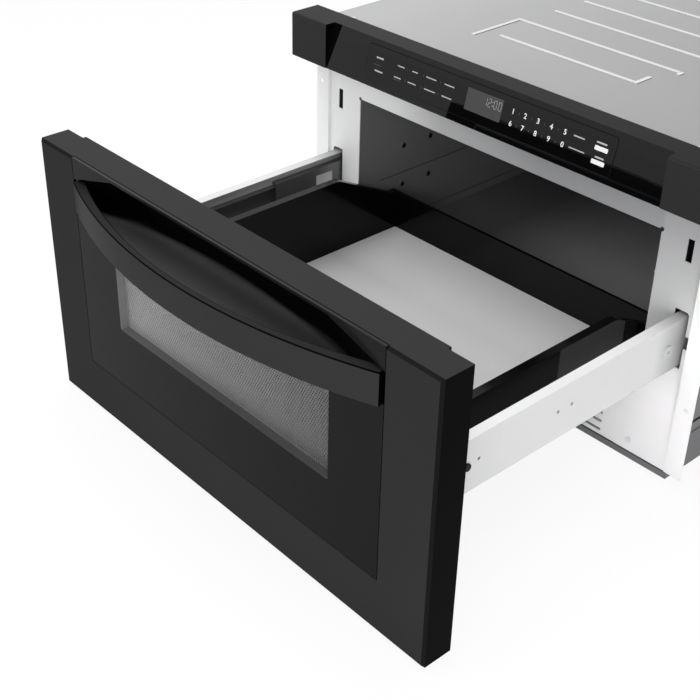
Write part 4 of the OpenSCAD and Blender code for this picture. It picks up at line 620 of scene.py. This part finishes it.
def pocket_lining():
    """The lining between the bar and the back of the pocket: a floor that turns up to a wall."""
    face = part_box("door_panel")[0].y
    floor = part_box("grip_cup")[0].z + 1.75 * MM
    half_width, wall_height = 230.5 * MM, 32.5 * MM
    bar_reach = 42 * MM
    back_half, back_depth, back_limit, back_ease = 239 * MM, 46 * MM, 29.5 * MM, 2 * MM
    turn_radius, turn_share = 17 * MM, 0.55
    floor_end, turn_end = 0.3, 0.8
    bar_radius = (half_width ** 2 + bar_reach ** 2) / (2 * bar_reach)
    back_radius = (back_half ** 2 + back_depth ** 2) / (2 * back_depth)
    deselect()
    bpy.ops.mesh.primitive_grid_add(x_subdivisions=72, y_subdivisions=14, size=1.0, location=(0, 0, 0))
    plate = bpy.context.object
    bpy.ops.object.mode_set(mode="EDIT")
    mesh = bmesh.from_edit_mesh(plate.data)
    for vertex in mesh.verts:
        x = vertex.co.x * 2 * half_width
        way = vertex.co.y + 0.5
        near = -(math.sqrt(bar_radius ** 2 - x ** 2) - (bar_radius - bar_reach))
        arc = math.sqrt(back_radius ** 2 - x ** 2) - (back_radius - back_depth)
        far = -back_ease * math.log(math.exp(-arc / back_ease) + math.exp(-back_limit / back_ease))
        turn = min(turn_radius, turn_share * (far - near))
        if way < floor_end:
            y, z = near + (far - turn - near) * way / floor_end, 0.0
        elif way < turn_end:
            angle = (way - floor_end) / (turn_end - floor_end) * math.pi / 2
            y, z = far - turn + turn * math.sin(angle), turn - turn * math.cos(angle)
        else:
            y, z = far, turn + (wall_height - turn) * (way - turn_end) / (1 - turn_end)
        vertex.co = Vector((x, face + y, floor + z))
    bmesh.update_edit_mesh(plate.data)
    bpy.ops.object.mode_set(mode="OBJECT")
    walled(plate, 0.3 * MM, -1)
    pick(plate)
    bpy.ops.object.mode_set(mode="EDIT")
    bpy.ops.mesh.select_all(action="SELECT")
    bpy.ops.mesh.normals_make_consistent(inside=False)
    bpy.ops.object.mode_set(mode="OBJECT")
    plate.data.materials.append(pocket_enamel("pocket_enamel", face, floor))
    finish_piece(plate, "pocket_lining", DRAWER, (), 50)


def louvre_blades():
    """The blades pressed in behind the slots at the foot of the front frame, greyed as painted shade.
    """
    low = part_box("front_frame")[0]
    length, thickness, height = 85 * MM, 0.5 * MM, 9 * MM
    columns, rows, step, pitch = 4, 3, 97 * MM, 11.3 * MM
    behind, lowest = 5.2 * MM, 16.4 * MM
    tilt = math.radians(55)
    deselect()
    bpy.ops.mesh.primitive_cube_add(size=1.0)
    first = bpy.context.object
    first.scale = (length, thickness, height)
    bpy.ops.object.transform_apply(location=False, rotation=False, scale=True)
    bpy.ops.object.mode_set(mode="EDIT")
    bpy.ops.mesh.select_all(action="SELECT")
    bpy.ops.mesh.bevel(offset=0.18 * MM, segments=2, affect="EDGES")
    bpy.ops.object.mode_set(mode="OBJECT")
    first.data.materials.append(FINISHES["blade_enamel"])
    blades = [first]
    for _ in range(1, columns * rows):
        blade = first.copy()
        blade.data = first.data.copy()
        bpy.context.collection.objects.link(blade)
        blades.append(blade)
    for place, blade in enumerate(blades):
        row, column = divmod(place, columns)
        blade.rotation_euler = (-tilt, 0, 0)
        blade.location = ((column - 1.5) * step, low.y + behind, lowest + row * pitch)
    joined(blades, "louvre_blades", BODY)


def repeated(obj, name, count, step):
    """An array along one step, merged and applied."""
    row = obj.modifiers.new(name, "ARRAY")
    row.count = count
    row.use_relative_offset = False
    row.use_constant_offset = True
    row.constant_offset_displace = step
    row.use_merge_vertices = True
    row.merge_threshold = 0.01 * MM
    bpy.ops.object.modifier_apply(modifier=name)


def perforated_screen():
    """A sheet of staggered holes, grown from one cell with its hole."""
    low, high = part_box("window_screen")
    columns, rows, hole_radius = 116, 40, 0.98 * MM
    across, up = (high.x - low.x) / (columns + 0.5), (high.z - low.z) / rows
    middle = Vector((low.x + across / 2, high.y, low.z + up / 2))
    deselect()
    bpy.ops.mesh.primitive_plane_add(size=1.0, location=middle, rotation=(math.radians(90), 0, 0))
    sheet = bpy.context.object
    sheet.scale = (across, up, 1.0)
    bpy.ops.object.transform_apply(location=True, rotation=True, scale=True)
    bpy.ops.object.mode_set(mode="EDIT")
    bpy.ops.mesh.select_mode(type="EDGE")
    bpy.ops.mesh.select_all(action="DESELECT")
    mesh = bmesh.from_edit_mesh(sheet.data)
    for edge in mesh.edges:
        edge.select_set(abs(edge.verts[0].co.x - edge.verts[1].co.x) > across / 2)
    bmesh.update_edit_mesh(sheet.data)
    bpy.ops.mesh.subdivide(number_cuts=1)
    bpy.ops.mesh.select_mode(type="FACE")
    bpy.ops.mesh.select_all(action="SELECT")
    bpy.ops.mesh.inset(thickness=0.5 * MM, use_boundary=True)
    bpy.ops.mesh.delete(type="FACE")
    mesh = bmesh.from_edit_mesh(sheet.data)
    for vertex in mesh.verts:
        out = vertex.co - middle
        if abs(out.z) < up * 0.49:
            vertex.co = middle + out.normalized() * hole_radius
    bmesh.update_edit_mesh(sheet.data)
    bpy.ops.object.mode_set(mode="OBJECT")
    repeated(sheet, "holes_in_a_row", columns, (across, 0, 0))
    repeated(sheet, "staggered_pair", 2, (across / 2, 0, up))
    repeated(sheet, "pairs_of_rows", rows // 2, (0, 0, 2 * up))
    walled(sheet, high.y - low.y, 0)
    sheet.location.y = -(high.y - low.y) / 2
    sheet.data.materials.append(FINISHES["screen_steel"])
    node = "window_screen"
    finish_piece(sheet, "perforated_screen", body_of(node), (node,), 20)


# The control head's sloped face: how far it leans back over its height, and where its foot is.
HEAD_LEAN, HEAD_HEIGHT = 13.0, 53.5
SLOPE = math.atan(HEAD_LEAN / HEAD_HEIGHT)
SLOPE_FOOT = Vector((0.0, -0.3098, 0.3295))
# How far the print on the glass, the display's window and its digits stand off, in millimetres.
ON_GLASS, DISPLAY_LIFT, DIGIT_LIFT = 0.43, 0.42, 0.47


def on_slope(obj, x, z, lift):
    """Stands a flat piece, drawn lying down, on the sloped face, at x and z in millimetres."""
    across = Vector((1, 0, 0))
    up = Vector((0, math.sin(SLOPE), math.cos(SLOPE)))
    out = Vector((0, -math.cos(SLOPE), math.sin(SLOPE)))
    obj.rotation_euler = (math.radians(90) - SLOPE, 0, 0)
    obj.location = SLOPE_FOOT + across * x * MM + up * z * MM + out * lift * MM


def printed(digit, x, z, height):
    """A printed digit, as a thin mesh."""
    deselect()
    bpy.ops.object.text_add()
    mark = bpy.context.object
    mark.data.body = digit
    mark.data.size = height * 1.4 * MM
    mark.data.offset = 0.12 * MM
    mark.data.align_x = "CENTER"
    mark.data.align_y = "CENTER"
    mark.data.extrude = 0.03 * MM
    mark.data.resolution_u = 3
    pick(mark)
    bpy.ops.object.convert(target="MESH")
    mark = bpy.context.object
    on_slope(mark, x, z, ON_GLASS)
    mark.data.materials.clear()
    mark.data.materials.append(FINISHES["print_white"])
    return mark


def printed_bar(x, z, width, height, finish, lift=ON_GLASS, corner=0.4):
    """A flat printed bar with rounded corners."""
    deselect()
    bpy.ops.mesh.primitive_cube_add(size=1.0)
    bar = bpy.context.object
    bar.scale = (width * MM, height * MM, 0.06 * MM)
    bpy.ops.object.transform_apply(location=False, rotation=False, scale=True)
    bpy.ops.object.mode_set(mode="EDIT")
    bpy.ops.mesh.select_mode(type="EDGE")
    bpy.ops.mesh.select_all(action="DESELECT")
    mesh = bmesh.from_edit_mesh(bar.data)
    for edge in mesh.edges:
        way = edge.verts[0].co - edge.verts[1].co
        edge.select_set(abs(way.z) > abs(way.x) + abs(way.y))
    bmesh.update_edit_mesh(bar.data)
    bpy.ops.mesh.bevel(offset=min(corner, height * 0.45, width * 0.45) * MM, segments=3)
    bpy.ops.object.mode_set(mode="OBJECT")
    on_slope(bar, x, z, lift)
    bar.data.materials.append(FINISHES[finish])
    return bar


def seven_segments(digit, x, z, lift):
    """A digit of a display, from its lit bars."""
    width, height, stroke = 3.6, 8.6, 0.5
    half, leg = width / 2, height / 4
    lying = (width - stroke, stroke)
    standing = (stroke, height / 2 - stroke)
    bars = {
        "a": (0, height / 2, *lying), "g": (0, 0, *lying), "d": (0, -height / 2, *lying),
        "b": (half, leg, *standing), "c": (half, -leg, *standing),
        "f": (-half, leg, *standing), "e": (-half, -leg, *standing),
    }
    lit = [bars[k] for k in {"0": "abcdef", "1": "bc", "2": "abged"}[digit]]
    return [printed_bar(x + dx, z + dz, w, h, "segment_grey", lift, 0.3) for dx, dz, w, h in lit]


# What is printed on the slope, in millimetres along and up it: places, or places and sizes.
DIGIT_COLUMNS = (44.6, 61.2, 78.6, 96.2, 114.2)
DIGIT_ROWS = (("12345", 34.2), ("67890", 21.2))
DIGIT_HEIGHT = 5.6
TICK_COLUMNS, TICK_ROWS, TICK_SIZE = (-112.5, -87.0, -61.0), (34.5, 21.5), (0.45, 2.6)
LINES = ((-159, 26.7, 14, 0.4), (-125, 18.6, 12, 0.4))
MARKS = (
    (-157, 35, 12, 1.7), (-155.5, 20, 13, 1.7),
    (-122.6, 34.7, 11, 1.2), (-100.5, 34.7, 9, 1.2), (-75, 34.7, 16, 1.2), (-47.6, 34.7, 15, 1.2),
    (-125, 21.4, 11, 1.2), (-102, 21.4, 13, 1.2), (-74, 21.4, 17, 1.2), (-48, 21.4, 15, 1.2),
    (132, 34.7, 14, 1.4), (132.6, 21.6, 20, 1.2), (159.7, 37.3, 13, 1.7), (161, 22.6, 11, 1.7),
)
BUTTONS = ((160.5, 31.6, 16, 4.6), (160.5, 17.6, 16, 4.6))
DISPLAY = (4.5, 29.5, 51, 24.0)
CLOCK_DIGITS, CLOCK_MIDDLE = (("1", 6.2), ("2", 12.0), ("0", 20.0), ("0", 26.5)), 33.5
CLOCK_DOTS = ((16.1, 31.5, 0.7, 0.7), (16.1, 35.5, 0.7, 0.7))


def control_head():
    """The control glass, its digits and marks, and the display."""
    head = softened("control_bezel", 0.5, "bezel_gloss")
    end_blocks = 241 * MM
    # Tops lighter and sides darker than the glossy head: painted light and shade.
    paint(head, "bezel_top", lambda c, n: n.z > 0.7)
    paint(head, "front_side", lambda c, n: abs(n.x) > 0.9)
    paint(head, "block_face", lambda c, n: abs(c.x) > end_blocks and n.y < -0.5)
    glass = softened("control_glass", 0.6, "black_glass")
    paint(glass, "glass_rim", lambda c, n: n.y > -0.9)

    digits = []
    for row, z in DIGIT_ROWS:
        for x, digit in zip(DIGIT_COLUMNS, row):
            digits.append(printed(digit, x, z, DIGIT_HEIGHT))
    joined(digits, "printed_digits", BODY)

    ticks = []
    for row, z in DIGIT_ROWS:
        for left, right in zip(DIGIT_COLUMNS, DIGIT_COLUMNS[1:]):
            ticks.append(printed_bar((left + right) / 2, z, *TICK_SIZE, "print_grey"))
    for x in TICK_COLUMNS:
        for z in TICK_ROWS:
            ticks.append(printed_bar(x, z, *TICK_SIZE, "print_grey"))
    joined(ticks, "printed_ticks", BODY)

    marks = [printed_bar(*mark, "print_soft", corner=0.9) for mark in MARKS]
    marks += [printed_bar(*button, "print_white", corner=0.9) for button in BUTTONS]
    joined(marks, "printed_marks", BODY)
    lines = [printed_bar(*line, "print_grey") for line in LINES]
    joined(lines, "printed_lines", BODY)

    window = printed_bar(*DISPLAY, "display_glass", DISPLAY_LIFT, 0.6)
    joined([window], "display_window", BODY)
    lit = []
    for digit, x in CLOCK_DIGITS:
        lit += seven_segments(digit, x, CLOCK_MIDDLE, DIGIT_LIFT)
    lit += [printed_bar(*dot, "print_white", DIGIT_LIFT, 0.2) for dot in CLOCK_DOTS]
    joined(lit, "display_segments", BODY)


def drawer_tub():
    """The tub and the tray on its floor."""
    tub = softened("drawer_tub", 0.55, "black_enamel", 3)
    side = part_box("drawer_tub")[1].x - 12 * MM
    paint(tub, "tub_side", lambda c, n: n.x > 0.9 and c.x > side)
    # Black in the tub's inner corners: painted shade.
    paint(tub, "bar_edge", lambda c, n: abs(n.x) > 0.25 and abs(n.y) > 0.25 and abs(n.z) < 0.3)
    softened("glass_tray", 0.8, "tray_glass", 3)


# Where the screws come through the cavity's side walls, in y and z.
LINER_SCREWS = [(y, z) for y in (-0.191, -0.1425) for z in (0.1465, 0.201)]


def from_screw(point):
    """Distance of a point on the cavity's wall from the middle of its nearest screw."""
    return min(math.hypot(point.y - y, point.z - z) for y, z in LINER_SCREWS)


def body_sheets():
    """The sheets of the body, the arms and slides, and the screws."""
    softened("front_frame", 0.35, "frame_enamel")
    softened("cabinet_flanges", 0.35, "flange_enamel")
    case = softened("outer_case", 0.5, "case_steel")
    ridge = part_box("outer_case")[1].z - 0.75 * MM
    # Ridges lighter as a painted highlight, sides darker as painted shade.
    paint(case, "case_ridge", lambda c, n: c.z > ridge)
    paint(case, "case_side", lambda c, n: abs(n.x) > 0.9)
    softened("base_pan", 0.4, "pan_steel")

    liner = softened("cavity_liner", 0.8, "liner_enamel")
    # The floor lighter and the pads' rounded edges darker: painted light and shade.
    paint(liner, "liner_floor", lambda c, n: n.z > 0.8 and c.z < 0.1)
    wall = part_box("cavity_liner")[1].x - 9.5 * MM

    def round_pad(c, n):
        return wall < abs(c.x) < wall + 4 * MM and abs(n.x) < 0.95 and c.z > 0.09

    paint(liner, "liner_shade", round_pad)
    arms = softened("drawer_arms", 0.4, "arm_enamel")
    # The arms' right sides in their own tones: painted light.
    paint(arms, "arm_side", lambda c, n: n.x > 0.8 and c.x > 0)
    for rail in ("left_middle_rail", "right_middle_rail", "fixed_rails", "moving_rails"):
        softened(rail, 0.35, "slide_steel")
    softened("latch_hooks", 0.3)
    softened("rear_panel", 0.3)

    screws = softened("body_screws", 0.15)
    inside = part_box("cavity_liner")[1].x + 2 * MM

    def in_cavity(c):
        return abs(c.x) < inside and c.y < 0.2 and c.z > 0.1

    paint(screws, "liner_enamel", lambda c, n: in_cavity(c))
    # Black in the recesses of the screws in the cavity: painted shade.
    paint(screws, "rubber", lambda c, n: in_cavity(c) and abs(n.x) > 0.5 and from_screw(c) < 2 * MM)
    paint(screws, "white_enamel", lambda c, n: c.z < 0.03 and c.y < -0.25)
    hardware = softened("drawer_hardware", 0.15)
    bumpers = 266.5 * MM
    paint(hardware, "rubber", lambda c, n: abs(c.x) > bumpers)


drawer_front()
pocket_lining()
louvre_blades()
perforated_screen()
control_head()
drawer_tub()
body_sheets()


# The rays that see the floor and the surround as white.
RAYS = ("Camera", "Glossy", "Transmission")


def pale_floor():
    """A pale floor, which the camera and mirrors see as nearly white."""
    deselect()
    bpy.ops.mesh.primitive_plane_add(size=12.0, location=(0, 0, 0))
    floor = bpy.context.object
    floor.name = "floor"
    finish = Finish("floor_white", base_color=(0.9, 0.9, 0.9), roughness=0.9)
    glow = finish.node("ShaderNodeEmission", None, {"Color": (1.0, 1.0, 1.0), "Strength": 1.0})
    path = finish.node("ShaderNodeLightPath").link.node
    ray = {name: Socket(finish, path.outputs[f"Is {name} Ray"]) for name in RAYS}
    seen = ray["Camera"].most(ray["Glossy"]).most(ray["Transmission"])
    lit = Socket(finish, finish.shader.outputs[0])
    mixed = finish.node("ShaderNodeMixShader", None, {0: seen * 0.9, 1: lit, 2: glow})
    out = next(n for n in finish.tree.nodes if n.type == "OUTPUT_MATERIAL")
    finish.tree.links.new(mixed.link, out.inputs["Surface"])
    floor.data.materials.append(finish.material)


def white_surround():
    """A world that is white to the camera and mirrors, and a dim grey light to the rest."""
    world = bpy.data.worlds.new("surround")
    bpy.context.scene.world = world
    world.use_nodes = True
    nodes, links = world.node_tree.nodes, world.node_tree.links
    nodes.clear()
    path = nodes.new("ShaderNodeLightPath")
    camera_ray, glossy_ray, clear_ray = [path.outputs[f"Is {name} Ray"] for name in RAYS]
    seen, shown = nodes.new("ShaderNodeMath"), nodes.new("ShaderNodeMath")
    for step, first, second in ((seen, camera_ray, glossy_ray), (shown, seen.outputs[0], clear_ray)):
        step.operation = "MAXIMUM"
        links.new(first, step.inputs[0])
        links.new(second, step.inputs[1])
    ambient, white = nodes.new("ShaderNodeBackground"), nodes.new("ShaderNodeBackground")
    ambient.inputs["Strength"].default_value = 0.36
    white.inputs["Color"].default_value = (1, 1, 1, 1)
    mix = nodes.new("ShaderNodeMixShader")
    out = nodes.new("ShaderNodeOutputWorld")
    links.new(shown.outputs[0], mix.inputs[0])
    links.new(ambient.outputs[0], mix.inputs[1])
    links.new(white.outputs[0], mix.inputs[2])
    links.new(mix.outputs[0], out.inputs[0])


def soft_lamps():
    """Four soft lamps round the drawer, and a small one for the foot of the front frame."""
    for name, place, aim, size, power in (
        ("top_softbox", (-0.3, -0.5, 2.6), (0, -0.2, 0.2), 2.4, 75.0),
        ("low_softbox", (2.1, -1.9, 0.5), (0.2, -0.3, 0.15), 1.2, 20.0),
        ("front_softbox", (-0.9, -2.8, 1.2), (0, -0.3, 0.2), 1.8, 14.0),
        ("fill_softbox", (1.35, -2.0, 1.5), (0, -0.3, 0.2), 1.2, 11.0),
        ("foot_softbox", (0.75, -1.6, 0.1), (0.24, -0.27, 0.08), 0.1, 0.028),
    ):
        deselect()
        bpy.ops.object.light_add(type="AREA", location=place)
        lamp = bpy.context.object
        lamp.name = name
        lamp.data.shape = "SQUARE"
        lamp.data.size = size
        lamp.data.energy = power
        lamp.rotation_euler = (Vector(aim) - Vector(place)).to_track_quat("-Z", "Y").to_euler()
        lamp.visible_glossy = name in ("top_softbox", "front_softbox")
        if name == "foot_softbox":
            lamp.data.spread = math.radians(14)


def camera():
    """The photograph's view, fitted in pixels of a frame 700 wide and high."""
    frame_size, focal_length, centre = 700, 1289.1, (300.7, 331.9)
    sensor_width = 36
    down, turned = math.radians(32.432), math.radians(49.594)
    place = (0.8583, -1.2856, 0.8896)
    bpy.ops.object.camera_add(location=place, rotation=(math.radians(90) - down, 0, turned))
    eye = bpy.context.object
    eye.data.sensor_width = sensor_width
    eye.data.lens = focal_length / frame_size * sensor_width
    eye.data.shift_x = (frame_size / 2 - centre[0]) / frame_size
    eye.data.shift_y = -(frame_size / 2 - centre[1]) / frame_size
    eye.data.clip_start = 0.01
    bpy.context.scene.camera = eye


pale_floor()
white_surround()
soft_lamps()
camera()
bpy.context.scene.view_settings.view_transform = "Standard"
